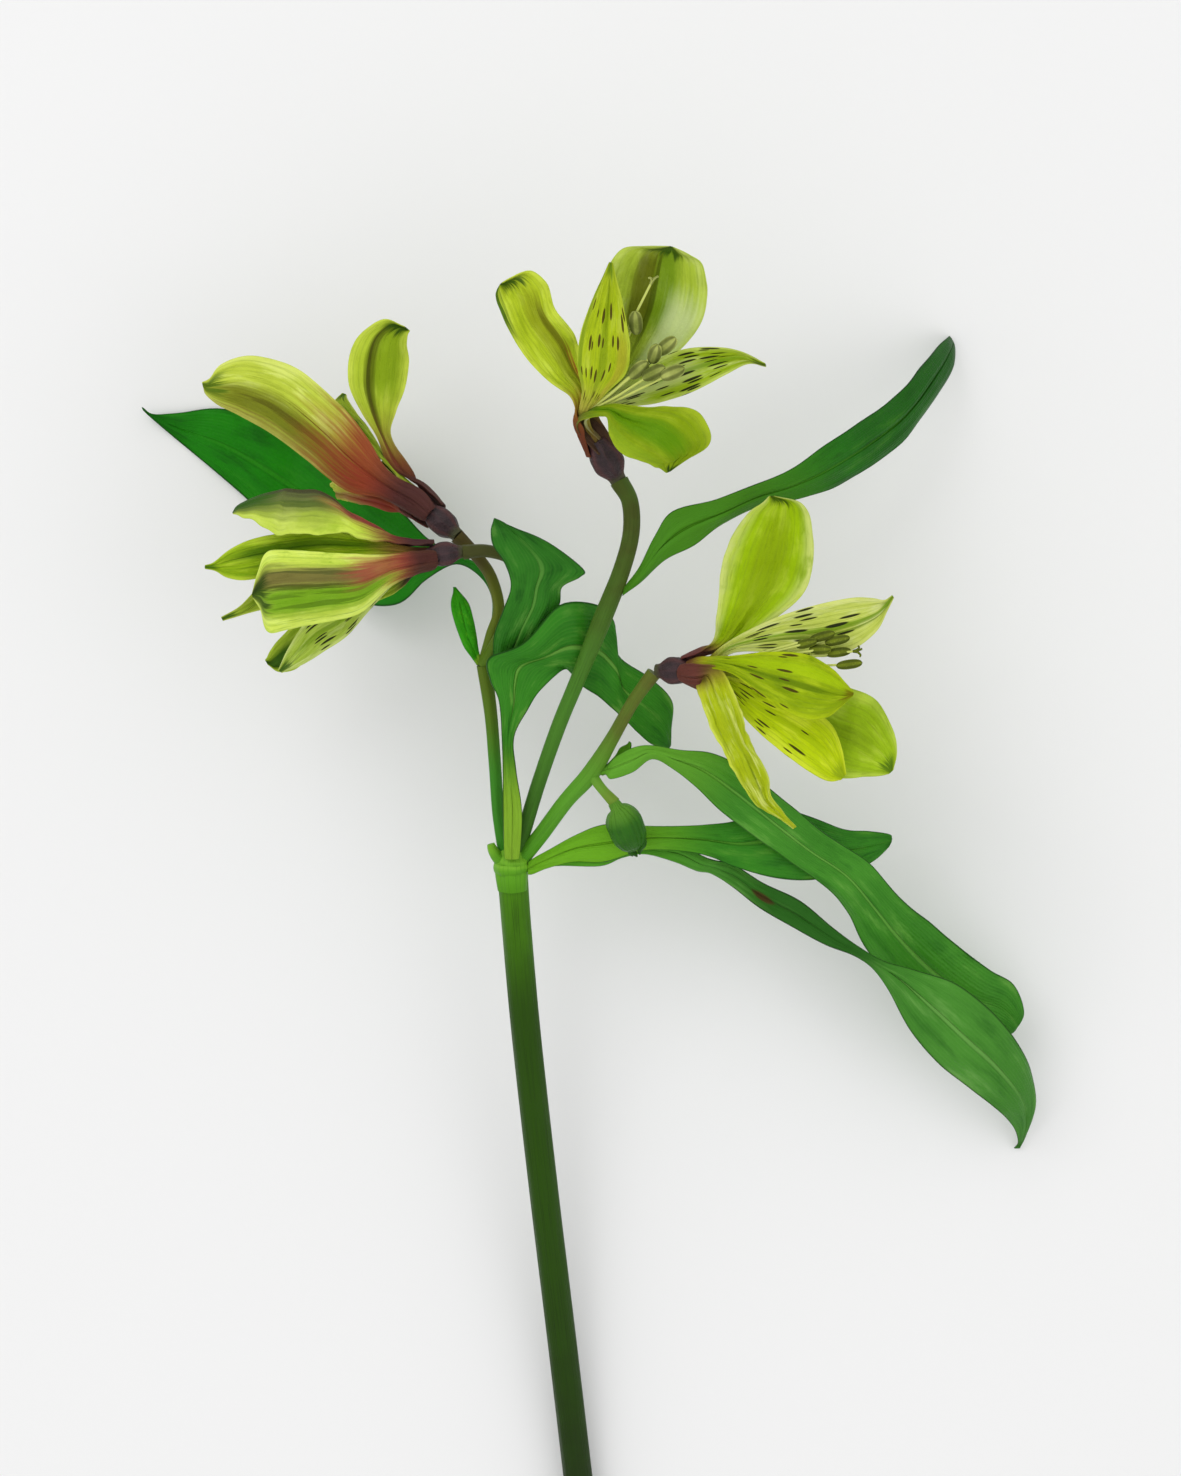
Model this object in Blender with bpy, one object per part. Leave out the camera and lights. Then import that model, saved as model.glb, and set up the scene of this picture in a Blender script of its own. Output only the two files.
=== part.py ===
"""A cut alstroemeria stem, lying down: a stem with three rays, seven leaves, two bracts, four
blooms and a side bud.

Lengths are in millimetres and become metres when the meshes are made. The stem lies on the plane
z = 0. Places are written as somebody sees them who looks straight down from VIEW_HEIGHT, with x to
the right and y up the stem, both from the umbel node, and z as the height above the plane.
"""

from math import cos, pi, radians, sin

import bmesh
import bpy
from mathutils import Vector

# Driving dimensions
MM = 0.001
VIEW_HEIGHT = 1500.0
VIEW_CENTRE = (15.7, 25.6)
STEM_RADIUS = 2.9
UMBEL_NODE_RADIUS = 3.5
LEAF_THICKNESS = 0.7
TEPAL_THICKNESS = 0.6
CLEARANCE = 0.3
OUTER_CLAW_RING = 2.1
OUTER_CLAW_WIDTH = 2.4
INNER_CLAW_RING = 1.2
INNER_CLAW_WIDTH = 1.4
STAMEN_RING = 0.15
FILAMENT_RADIUS = 0.32
FILAMENT_ARCH = 0.35
ANTHER_LENGTH = 4.6
ANTHER_RADIUS = 1.25

# Mesh fineness
BLADE_COLUMNS = 4
ROWS_PER_STATION = 1.5
STEM_SIDES = 12
RAY_SIDES = 8
FILAMENT_SIDES = 5
FILAMENT_STEPS = 4
ANTHER_SEGMENTS = 6

# Colours, as seen in daylight
STEM_GREEN = (0.24, 0.40, 0.12)
LEAF_GREEN = (0.22, 0.48, 0.18)
LEAF_DARK_GREEN = (0.08, 0.38, 0.07)
BRACT_GREEN = (0.30, 0.55, 0.12)
OVARY_PURPLE = (0.29, 0.20, 0.21)
OUTER_TEPAL_LIME = (0.66, 0.76, 0.18)
INNER_TEPAL_LIME = (0.71, 0.79, 0.27)
STAMEN_OLIVE = (0.45, 0.48, 0.22)

# Centre lines of the grown stem, each point with its radius
MAIN_STEM = (
    (0.0, 0.6, 30.0, STEM_RADIUS + 0.1),
    (1.0, -12.8, 25.5, STEM_RADIUS),
    (3.0, -34.8, 19.0, STEM_RADIUS),
    (6.6, -66.8, 12.0, STEM_RADIUS),
    (10.0, -94.8, 7.2, STEM_RADIUS),
    (13.2, -122.0, 4.2, STEM_RADIUS),
    (17.2, -156.0, STEM_RADIUS, STEM_RADIUS),
)
RAY_LEFT = (
    (-0.8, 0.8, 30.0, 1.7),
    (-2.6, 9.2, 31.0, 1.2),
    (-3.4, 20.2, 33.0, 1.25),
    (-4.2, 30.2, 35.5, 1.3),
    (-5.6, 40.2, 38.0, 1.5),
)
RAY_TOP = (
    (0.4, 0.4, 30.0, 1.7),
    (2.6, 7.6, 31.6, 1.45),
    (5.4, 16.8, 34.5, 1.45),
    (9.4, 28.2, 39.5, 1.5),
    (13.2, 37.4, 44.0, 1.55),
    (18.0, 49.2, 48.5, 1.9),
    (21.8, 58.8, 51.0, 1.75),
    (23.8, 66.4, 52.0, 1.7),
    (23.6, 72.8, 52.0, 1.7),
    (21.4, 77.0, 52.0, 1.9),
)
RAY_RIGHT = (
    (0.8, 0.2, 30.0, 1.7),
    (5.6, 6.0, 32.0, 1.6),
    (10.8, 13.0, 36.0, 1.6),
    (15.8, 18.6, 39.5, 1.8),
    (20.0, 25.4, 43.0, 1.4),
    (24.2, 32.8, 45.5, 1.3),
    (28.4, 38.6, 47.0, 1.5),
)
PEDICEL_UPPER_LEFT = (
    (-5.6, 40.0, 37.8, 1.4),
    (-4.2, 46.0, 38.2, 1.15),
    (-2.6, 51.4, 39.2, 1.15),
    (-4.2, 57.8, 40.8, 1.2),
    (-7.4, 62.4, 41.6, 1.25),
    (-11.0, 66.0, 42.0, 1.6),
)
PEDICEL_LOWER_LEFT = (
    (-5.6, 40.0, 37.8, 1.3),
    (-2.8, 45.4, 40.2, 1.2),
    (0.4, 50.8, 43.0, 1.2),
    (1.8, 56.4, 45.6, 1.2),
    (0.0, 61.2, 47.2, 1.25),
    (-4.8, 63.0, 47.6, 1.3),
    (-9.8, 62.8, 47.6, 1.5),
)
BUD_STALK = (
    (15.8, 18.4, 39.5, 1.1),
    (18.0, 15.4, 40.6, 1.0),
    (20.6, 12.6, 41.0, 1.2),
)
SIDE_BUD = (
    (20.9, 11.8, 41.0, 1.2),
    (21.5, 10.8, 40.6, 2.6),
    (22.4, 8.8, 39.6, 3.6),
    (23.4, 6.2, 38.6, 3.5),
    (24.2, 4.2, 38.0, 2.5),
    (24.6, 3.2, 37.8, 1.2),
)

# Blades. Each station is the left edge, the right edge and how far the middle bulges outwards.
LEAF_UPPER_RIGHT = (
    ((23.2, 56.8, 51.2), (22.9, 54.6, 50.8), 0.0),
    ((25.6, 60.0, 51.8), (25.8, 56.8, 51.2), 0.4),
    ((28.6, 66.2, 52.0), (30.6, 61.2, 51.0), 0.8),
    ((32.2, 71.0, 52.0), (36.4, 64.2, 50.0), 1.2),
    ((40.8, 73.4, 51.0), (42.0, 68.4, 48.5), 1.0),
    ((48.0, 76.2, 48.0), (49.2, 71.8, 45.5), 0.8),
    ((55.4, 79.2, 44.0), (58.4, 73.8, 41.5), 1.0),
    ((64.2, 85.4, 37.0), (66.6, 76.8, 34.5), 1.2),
    ((75.8, 93.2, 25.0), (77.6, 84.6, 23.5), 1.2),
    ((81.6, 99.8, 15.5), (84.0, 92.6, 14.5), 1.0),
    ((85.6, 104.2, 7.5), (87.8, 99.2, 6.5), 0.5),
    ((87.2, 105.8, 2.4), (88.6, 103.0, 1.8), 0.2),
    ((87.4, 106.0, 0.3), (88.0, 105.2, 0.2), 0.0),
)
LEAF_BEHIND_LEFT = (
    ((-4.4, 42.8, 36.0), (-6.0, 42.2, 36.0), 0.0),
    ((-2.8, 47.6, 34.2), (-4.4, 47.6, 34.2), 0.0),
    ((-2.4, 53.2, 31.5), (-4.0, 53.2, 31.5), 0.0),
    ((-4.8, 59.2, 27.5), (-6.2, 57.6, 27.5), 0.0),
    ((-10.0, 62.0, 22.0), (-11.2, 60.4, 22.0), 0.0),
    ((-16.4, 65.2, 17.0), (-17.4, 57.2, 17.0), 0.4),
    ((-22.4, 71.2, 12.0), (-23.4, 52.2, 12.0), 0.8),
    ((-32.4, 79.2, 5.5), (-32.0, 53.8, 5.5), 0.8),
    ((-44.4, 87.2, 0.35), (-42.4, 63.6, 0.35), 0.0),
    ((-57.2, 91.4, 0.35), (-55.0, 75.2, 0.35), 0.0),
    ((-66.8, 90.6, 0.35), (-65.4, 84.0, 0.35), 0.0),
    ((-71.8, 90.4, 1.2), (-71.4, 89.0, 1.2), 0.0),
    ((-74.0, 91.8, 2.5), (-73.6, 91.0, 2.5), 0.0),
)
LEAF_UPRIGHT = (
    ((-1.4, 2.8, 33.1), (0.0, 2.8, 33.1), 0.0),
    ((-1.4, 15.2, 35.4), (-0.2, 15.2, 35.4), 0.0),
    ((-1.4, 26.2, 37.8), (-0.2, 26.2, 37.8), 0.0),
    ((-2.2, 33.2, 40.0), (0.4, 32.8, 40.0), 0.0),
    ((-3.6, 40.2, 43.0), (2.0, 39.6, 42.0), 0.3),
    ((-3.6, 46.2, 46.2), (6.0, 45.6, 45.0), 0.6),
    ((-1.6, 51.6, 48.6), (9.4, 52.0, 46.8), 0.8),
    ((-0.2, 56.2, 50.4), (10.0, 56.0, 49.0), 1.0),
    ((-1.6, 60.8, 51.8), (13.6, 57.8, 50.5), 1.0),
    ((-3.8, 64.2, 52.4), (14.2, 59.4, 51.5), 1.0),
    ((-4.2, 67.0, 52.4), (7.4, 64.6, 53.0), 0.6),
    ((-3.8, 68.8, 52.2), (0.6, 67.6, 53.0), 0.2),
    ((-3.6, 69.6, 52.0), (-2.6, 69.2, 52.3), 0.0),
)
LEAF_ARCHING = (
    ((-1.6, 2.6, 34.6), (1.6, 2.6, 34.6), 0.0),
    ((-1.8, 11.2, 36.2), (2.0, 10.8, 36.2), -0.3),
    ((-1.8, 19.2, 38.0), (0.8, 19.2, 38.0), -0.3),
    ((-2.0, 25.6, 39.8), (0.4, 25.8, 39.8), -0.3),
    ((-2.6, 32.8, 42.6), (3.2, 31.4, 42.2), -0.6),
    ((-4.4, 37.2, 45.2), (5.6, 35.0, 43.2), -0.6),
    ((-4.6, 41.6, 47.6), (8.4, 37.8, 43.4), -0.4),
    ((2.2, 44.4, 48.6), (11.0, 39.4, 42.0), 0.4),
    ((9.4, 52.2, 48.8), (13.8, 36.2, 40.0), 1.0),
    ((17.0, 52.2, 44.4), (17.2, 34.0, 38.5), 1.2),
    ((20.4, 48.8, 42.5), (20.2, 31.4, 38.0), 1.2),
    ((21.2, 42.2, 40.5), (22.8, 29.0, 37.0), 1.2),
    ((27.6, 37.6, 38.0), (25.0, 26.8, 36.0), 1.2),
    ((31.8, 33.2, 36.0), (27.8, 24.4, 35.0), 0.8),
    ((31.8, 27.6, 34.0), (30.4, 23.6, 33.8), 0.3),
    ((31.8, 24.2, 33.0), (31.2, 23.4, 33.0), 0.0),
)
LEAF_RIGHT_LONG = (
    ((19.2, 20.2, 41.2), (18.8, 18.2, 41.2), 0.0),
    ((20.8, 21.8, 42.2), (20.0, 17.4, 41.8), 0.3),
    ((24.0, 23.6, 43.2), (24.2, 18.8, 42.6), 0.5),
    ((27.6, 24.2, 43.6), (28.0, 21.4, 43.0), 0.4),
    ((33.6, 23.2, 43.0), (32.0, 19.6, 42.0), 0.5),
    ((40.0, 22.6, 41.5), (36.8, 15.8, 40.5), 0.8),
    ((46.6, 19.4, 40.0), (42.0, 10.8, 39.0), 1.0),
    ((55.6, 12.2, 37.5), (49.0, 5.6, 36.5), 1.0),
    ((63.4, 6.0, 34.5), (55.8, 0.8, 33.5), 1.0),
    ((71.2, 0.8, 31.0), (62.8, -4.2, 30.0), 1.0),
    ((77.6, -6.2, 27.0), (67.2, -9.4, 26.0), 1.0),
    ((83.4, -11.2, 23.0), (70.4, -15.8, 22.5), 1.0),
    ((89.0, -15.8, 19.0), (76.6, -23.8, 18.0), 1.0),
    ((95.6, -20.8, 15.0), (85.6, -30.8, 14.0), 0.8),
    ((100.4, -23.8, 12.0), (93.6, -32.8, 11.0), 0.6),
    ((102.4, -29.2, 10.0), (98.6, -33.6, 9.5), 0.3),
    ((100.9, -32.5, 9.0), (100.0, -33.5, 9.0), 0.0),
)
LEAF_RIGHT_STRAIGHT = (
    ((4.3, 1.6, 31.6), (4.3, -1.6, 31.6), 0.0),
    ((8.0, 3.6, 32.0), (7.2, -0.4, 31.6), 0.3),
    ((13.2, 6.4, 32.4), (12.4, 0.8, 32.2), 0.5),
    ((19.0, 8.4, 32.8), (18.6, 0.8, 32.6), 0.6),
    ((27.6, 8.0, 33.2), (27.2, 3.2, 33.0), 0.4),
    ((37.6, 8.2, 33.2), (37.6, 2.4, 33.0), 0.4),
    ((45.2, 9.2, 32.5), (45.2, -0.4, 32.5), 0.5),
    ((51.6, 12.2, 31.5), (52.6, -2.4, 31.5), 0.6),
    ((58.6, 10.2, 30.0), (60.0, -2.8, 30.0), 0.6),
    ((66.2, 7.4, 27.6), (67.2, -1.2, 27.6), 0.4),
    ((71.2, 7.0, 25.6), (72.0, 0.8, 25.6), 0.2),
    ((75.4, 6.4, 24.0), (75.0, 3.4, 24.0), 0.0),
    ((76.0, 5.6, 23.6), (75.8, 4.6, 23.6), 0.0),
)
LEAF_DROOPING = (
    ((4.3, 1.4, 30.2), (4.3, -1.2, 30.2), 0.0),
    ((9.6, 3.2, 30.2), (8.8, 0.0, 30.2), 0.2),
    ((17.6, 4.6, 30.4), (17.6, 0.0, 30.4), 0.3),
    ((22.6, 4.8, 30.6), (22.0, 1.6, 30.6), 0.3),
    ((27.6, 4.4, 30.8), (26.6, 2.4, 30.8), 0.3),
    ((33.6, 4.4, 30.8), (32.6, 0.8, 30.8), 0.3),
    ((38.2, 2.0, 30.4), (37.0, -1.0, 30.0), 0.2),
    ((40.4, 1.2, 30.6), (40.0, -1.6, 29.2), 0.0),
    ((44.4, 0.2, 29.8), (44.4, -4.4, 29.6), -0.4),
    ((50.2, -3.4, 29.6), (49.6, -8.4, 29.6), -0.6),
    ((57.6, -7.0, 29.8), (56.8, -12.6, 29.8), -0.6),
    ((64.2, -12.4, 30.0), (62.8, -15.8, 30.0), -0.3),
    ((69.2, -16.0, 30.3), (68.0, -17.8, 30.0), 0.0),
    ((74.4, -19.0, 30.5), (72.0, -20.4, 30.0), 0.2),
    ((80.6, -20.8, 30.0), (75.4, -25.0, 29.5), 0.6),
    ((88.0, -23.2, 28.5), (79.6, -32.8, 27.0), 1.2),
    ((94.6, -27.8, 25.5), (85.6, -39.8, 23.0), 1.5),
    ((100.0, -33.8, 20.5), (92.0, -44.8, 18.0), 1.4),
    ((103.8, -40.8, 14.5), (97.6, -49.2, 12.0), 1.0),
    ((104.6, -47.8, 7.5), (100.4, -52.4, 6.5), 0.5),
    ((102.8, -53.8, 2.4), (101.2, -55.2, 2.2), 0.1),
    ((101.6, -56.4, 0.8), (100.4, -56.4, 0.8), 0.0),
)
BRACT_LEFT = (
    ((-7.6, 41.0, 38.3), (-6.6, 42.8, 38.3), 0.0),
    ((-9.8, 44.2, 39.5), (-7.0, 45.6, 39.3), 0.3),
    ((-11.6, 49.2, 40.5), (-7.6, 48.8, 40.3), 0.5),
    ((-12.2, 52.4, 41.0), (-8.6, 52.4, 41.0), 0.3),
    ((-11.8, 54.8, 41.3), (-10.6, 55.0, 41.3), 0.1),
    ((-11.8, 55.8, 41.4), (-11.2, 55.8, 41.4), 0.0),
)
BRACT_RIGHT = (
    ((19.0, 20.4, 39.8), (19.1, 18.5, 39.8), 0.0),
    ((20.6, 22.0, 40.2), (21.6, 19.8, 40.2), 0.2),
    ((21.6, 23.6, 40.8), (23.2, 21.8, 40.8), 0.2),
    ((23.0, 24.4, 41.2), (23.8, 23.8, 41.2), 0.0),
    ((23.4, 25.0, 41.3), (23.9, 24.6, 41.3), 0.0),
)

# Blooms. A tepal starts at its claw, turned by its angle round the bloom's axis.
BLOOM_UPPER_LEFT = {
    "ovary_base": (-11.2, 66.4, 42.0),
    "axis": (-0.71, 0.61, -0.35),
    "ovary_length": 6.5,
    "ovary_radius": 2.7,
    "claw_length": 4.0,
    "outer": {
        "left": (-10.0, (
            ((-24.8, 79.2, 40.6), (-26.4, 73.6, 40.4), 0.4),
            ((-30.0, 87.2, 38.6), (-33.4, 75.2, 38.2), 1.4),
            ((-35.0, 92.8, 36.6), (-40.8, 81.0, 36.4), 2.0),
            ((-43.2, 99.6, 34.6), (-48.0, 86.4, 34.8), 2.2),
            ((-52.0, 102.0, 33.4), (-54.4, 90.0, 33.8), 1.8),
            ((-58.0, 100.4, 33.0), (-58.8, 92.2, 33.2), 1.0),
            ((-60.4, 97.6, 33.0), (-61.2, 94.2, 33.0), 0.4),
            ((-62.0, 96.8, 33.2), (-61.8, 95.8, 33.2), 0.0),
        )),
        "top": (110.0, (
            ((-22.0, 79.2, 38.5), (-20.0, 78.8, 38.2), 0.2),
            ((-26.2, 85.8, 37.0), (-24.2, 85.8, 36.8), 0.3),
            ((-30.0, 90.6, 36.5), (-23.2, 90.8, 36.0), 0.8),
            ((-32.6, 96.2, 36.5), (-21.4, 95.6, 36.0), 1.6),
            ((-32.4, 102.4, 37.0), (-20.6, 100.8, 36.5), 1.8),
            ((-30.0, 106.8, 38.0), (-21.0, 104.2, 37.5), 1.2),
            ((-25.6, 109.4, 39.0), (-20.8, 106.2, 38.5), 0.5),
            ((-21.6, 108.0, 39.5), (-20.4, 107.0, 39.3), 0.0),
        )),
        "away": (230.0, (
            ((-25.4, 73.6, 36.0), (-24.0, 70.8, 35.2), 0.3),
            ((-30.0, 75.2, 33.0), (-28.8, 72.2, 31.0), 0.6),
            ((-34.0, 76.4, 29.0), (-32.0, 72.8, 25.5), 0.8),
            ((-35.8, 76.8, 23.5), (-33.2, 73.2, 18.5), 0.8),
            ((-36.0, 76.6, 17.0), (-33.4, 73.8, 13.5), 0.4),
            ((-35.2, 75.6, 11.5), (-34.4, 74.8, 11.0), 0.0),
        )),
    },
    "inner": {
        "near": (50.0, (
            ((-25.6, 80.8, 38.4), (-23.4, 79.2, 38.2), 0.2),
            ((-30.0, 85.2, 35.6), (-27.2, 85.2, 35.6), 0.4),
            ((-33.4, 88.2, 33.0), (-29.2, 88.2, 33.0), 0.5),
            ((-35.4, 90.8, 31.0), (-31.2, 90.8, 31.0), 0.4),
            ((-35.6, 92.8, 29.0), (-32.8, 93.2, 29.0), 0.2),
            ((-34.0, 94.6, 27.5), (-33.1, 94.2, 27.5), 0.0),
        )),
        "back": (170.0, (
            ((-23.6, 77.8, 33.8), (-22.4, 76.2, 33.4), 0.1),
            ((-29.4, 83.4, 28.8), (-27.8, 80.8, 28.3), 0.4),
            ((-36.0, 88.8, 24.5), (-33.6, 84.8, 23.5), 0.8),
            ((-43.4, 93.6, 20.0), (-41.2, 88.6, 19.0), 0.8),
            ((-48.8, 95.2, 17.5), (-47.6, 92.2, 17.0), 0.4),
            ((-51.8, 96.2, 16.3), (-51.2, 95.4, 16.2), 0.0),
        )),
        "low": (290.0, (
            ((-25.0, 75.8, 37.0), (-24.2, 74.2, 36.6), 0.1),
            ((-31.0, 78.8, 34.4), (-29.8, 76.4, 33.8), 0.4),
            ((-36.6, 82.4, 31.5), (-34.6, 79.0, 30.6), 0.6),
            ((-42.4, 86.8, 29.0), (-40.4, 83.4, 28.3), 0.6),
            ((-46.0, 89.4, 27.5), (-44.8, 87.2, 27.1), 0.3),
            ((-48.8, 91.4, 26.5), (-48.2, 90.6, 26.4), 0.0),
        )),
    },
}
BLOOM_LOWER_LEFT = {
    "ovary_base": (-10.3, 62.8, 47.6),
    "axis": (-0.985, -0.12, 0.12),
    "ovary_length": 5.5,
    "ovary_radius": 2.5,
    "claw_length": 4.0,
    "outer": {
        "top": (95.0, (
            ((-24.4, 64.6, 50.2), (-24.4, 64.6, 46.2), 1.6),
            ((-32.0, 66.0, 53.0), (-32.0, 66.0, 44.5), 4.0),
            ((-39.6, 66.4, 55.0), (-39.2, 67.6, 43.5), 7.4),
            ((-47.0, 66.2, 56.0), (-46.4, 69.2, 43.5), 7.8),
            ((-51.4, 68.4, 55.0), (-50.8, 70.8, 45.0), 5.0),
            ((-54.4, 70.0, 53.0), (-54.2, 71.6, 48.0), 1.6),
            ((-55.8, 70.4, 51.0), (-55.8, 70.8, 50.0), 0.0),
        )),
        "middle": (-25.0, (
            ((-24.0, 62.4, 52.4), (-24.0, 56.2, 51.4), 0.8),
            ((-31.4, 62.4, 54.4), (-30.4, 50.6, 52.4), 1.8),
            ((-38.4, 62.8, 55.6), (-37.4, 48.8, 53.2), 2.4),
            ((-45.4, 63.2, 56.0), (-44.4, 47.4, 53.6), 2.4),
            ((-49.2, 62.6, 55.8), (-48.8, 46.8, 53.6), 1.8),
            ((-50.8, 58.8, 55.4), (-50.2, 50.8, 54.2), 0.8),
            ((-52.0, 54.6, 54.6), (-51.8, 53.6, 54.6), 0.0),
        )),
        "low": (215.0, (
            ((-24.0, 60.4, 43.0), (-24.0, 54.4, 43.2), 0.6),
            ((-31.4, 58.2, 40.0), (-29.8, 51.4, 40.5), 1.2),
            ((-38.8, 53.2, 37.0), (-34.8, 46.4, 38.0), 1.2),
            ((-44.8, 47.2, 35.0), (-40.0, 42.4, 36.0), 1.0),
            ((-48.0, 43.6, 34.5), (-43.2, 39.4, 35.5), 0.5),
            ((-49.0, 41.8, 34.5), (-46.6, 38.8, 35.0), 0.2),
            ((-49.4, 41.2, 34.6), (-48.8, 40.2, 34.6), 0.0),
        )),
    },
    "inner": {
        "high": (35.0, (
            ((-23.6, 64.4, 49.0), (-23.6, 62.0, 49.8), 0.2),
            ((-29.4, 65.8, 50.0), (-30.0, 61.2, 50.6), 0.5),
            ((-37.4, 67.0, 50.8), (-37.4, 60.2, 51.0), 0.8),
            ((-45.4, 66.6, 51.2), (-45.4, 58.8, 51.4), 0.8),
            ((-52.0, 65.4, 51.4), (-52.8, 57.2, 51.6), 0.6),
            ((-56.4, 63.4, 51.0), (-56.8, 57.6, 51.2), 0.3),
            ((-59.6, 60.8, 50.0), (-59.4, 59.0, 50.2), 0.1),
            ((-61.4, 60.2, 49.5), (-61.4, 59.4, 49.5), 0.0),
        )),
        "flecked": (-85.0, (
            ((-24.0, 58.6, 47.2), (-24.4, 55.6, 46.6), 0.3),
            ((-30.0, 54.8, 45.4), (-28.8, 50.8, 44.6), 0.5),
            ((-35.4, 52.2, 43.8), (-33.0, 46.0, 43.0), 0.6),
            ((-40.8, 49.2, 42.2), (-37.4, 43.0, 41.4), 0.6),
            ((-44.4, 44.2, 40.6), (-41.6, 40.4, 40.2), 0.3),
            ((-46.8, 39.2, 39.4), (-46.0, 38.6, 39.4), 0.0),
        )),
        "thin": (155.0, (
            ((-24.0, 63.4, 45.8), (-24.0, 61.4, 45.0), 0.1),
            ((-32.4, 62.2, 45.2), (-32.4, 58.6, 44.6), 0.4),
            ((-42.4, 60.2, 45.0), (-41.4, 54.8, 44.4), 0.6),
            ((-50.0, 56.2, 45.0), (-48.4, 51.8, 44.6), 0.4),
            ((-54.4, 52.0, 45.4), (-53.2, 50.4, 45.2), 0.1),
            ((-58.2, 49.8, 46.0), (-57.8, 49.0, 46.0), 0.0),
        )),
    },
}
BLOOM_TOP = {
    "ovary_base": (21.0, 77.6, 52.2),
    "axis": (-0.46, 0.82, 0.30),
    "ovary_length": 7.0,
    "ovary_radius": 3.3,
    "claw_length": 6.5,
    "outer": {
        "left": (-100.0, (
            ((12.0, 93.6, 57.0), (14.6, 94.6, 57.2), 0.3),
            ((7.6, 96.8, 59.0), (13.8, 100.2, 58.4), 0.8),
            ((3.2, 101.2, 60.5), (12.6, 106.2, 59.4), 1.4),
            ((-0.4, 106.8, 62.0), (8.8, 111.2, 61.5), 1.6),
            ((-2.4, 111.2, 63.5), (7.2, 116.2, 63.5), 1.4),
            ((-3.2, 113.8, 64.5), (4.0, 119.0, 65.0), 0.8),
            ((-3.0, 115.2, 65.2), (0.6, 118.0, 65.6), 0.3),
            ((-2.6, 116.0, 65.6), (-1.8, 116.8, 65.8), 0.0),
        )),
        "bottom": (20.0, (
            ((20.0, 92.4, 62.2), (18.4, 90.0, 62.0), 0.2),
            ((25.6, 92.0, 64.6), (19.4, 86.8, 63.6), 0.6),
            ((31.6, 91.8, 66.4), (20.4, 84.2, 65.0), 1.2),
            ((36.6, 91.2, 67.8), (22.4, 82.2, 65.4), 1.4),
            ((39.4, 87.6, 67.8), (25.2, 81.2, 65.4), 1.2),
            ((39.4, 84.6, 66.4), (27.6, 80.4, 64.8), 0.8),
            ((35.6, 81.8, 64.8), (29.2, 79.8, 64.0), 0.3),
            ((32.0, 79.2, 63.2), (30.8, 78.6, 63.2), 0.0),
        )),
        "top": (140.0, (
            ((17.0, 94.2, 55.6), (19.4, 93.4, 56.0), 0.2),
            ((17.6, 99.2, 56.8), (25.6, 97.2, 57.8), 0.8),
            ((18.0, 107.2, 58.8), (32.6, 102.2, 60.4), 1.6),
            ((18.2, 114.2, 61.0), (37.6, 108.2, 62.8), 2.0),
            ((19.2, 119.6, 63.8), (39.0, 114.2, 65.4), 2.0),
            ((22.0, 123.4, 66.0), (38.2, 120.0, 67.5), 1.4),
            ((26.6, 124.0, 67.0), (35.6, 122.2, 68.0), 0.6),
            ((31.2, 124.0, 67.5), (32.4, 123.8, 67.6), 0.0),
        )),
    },
    "inner": {
        "left": (-40.0, (
            ((15.4, 95.0, 61.4), (18.0, 94.6, 61.4), 0.2),
            ((13.6, 100.2, 63.0), (22.6, 98.8, 63.8), 0.6),
            ((13.8, 106.8, 65.2), (23.6, 104.2, 66.2), 0.8),
            ((16.0, 113.2, 67.8), (22.6, 110.8, 68.8), 0.6),
            ((18.0, 117.6, 70.0), (21.2, 116.2, 70.6), 0.2),
            ((19.4, 120.8, 71.4), (20.2, 120.6, 71.4), 0.0),
        )),
        "right": (80.0, (
            ((20.2, 94.4, 59.2), (21.4, 92.6, 59.4), 0.1),
            ((26.6, 99.6, 61.2), (28.6, 93.0, 61.6), 0.5),
            ((33.6, 103.2, 63.8), (36.0, 94.8, 64.0), 0.7),
            ((40.6, 103.8, 66.5), (42.6, 98.2, 66.5), 0.5),
            ((45.6, 103.0, 68.5), (47.2, 100.4, 68.2), 0.2),
            ((50.6, 100.6, 71.0), (50.8, 99.8, 71.0), 0.0),
        )),
        "back": (200.0, (
            ((15.8, 94.2, 57.4), (18.0, 93.6, 57.6), 0.1),
            ((15.2, 100.0, 58.8), (20.6, 99.0, 59.4), 0.3),
            ((16.0, 106.6, 61.0), (21.8, 105.0, 61.8), 0.4),
            ((17.6, 112.6, 63.6), (21.4, 111.4, 64.2), 0.2),
            ((19.2, 116.8, 66.0), (20.2, 116.6, 66.2), 0.0),
        )),
    },
}
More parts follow.
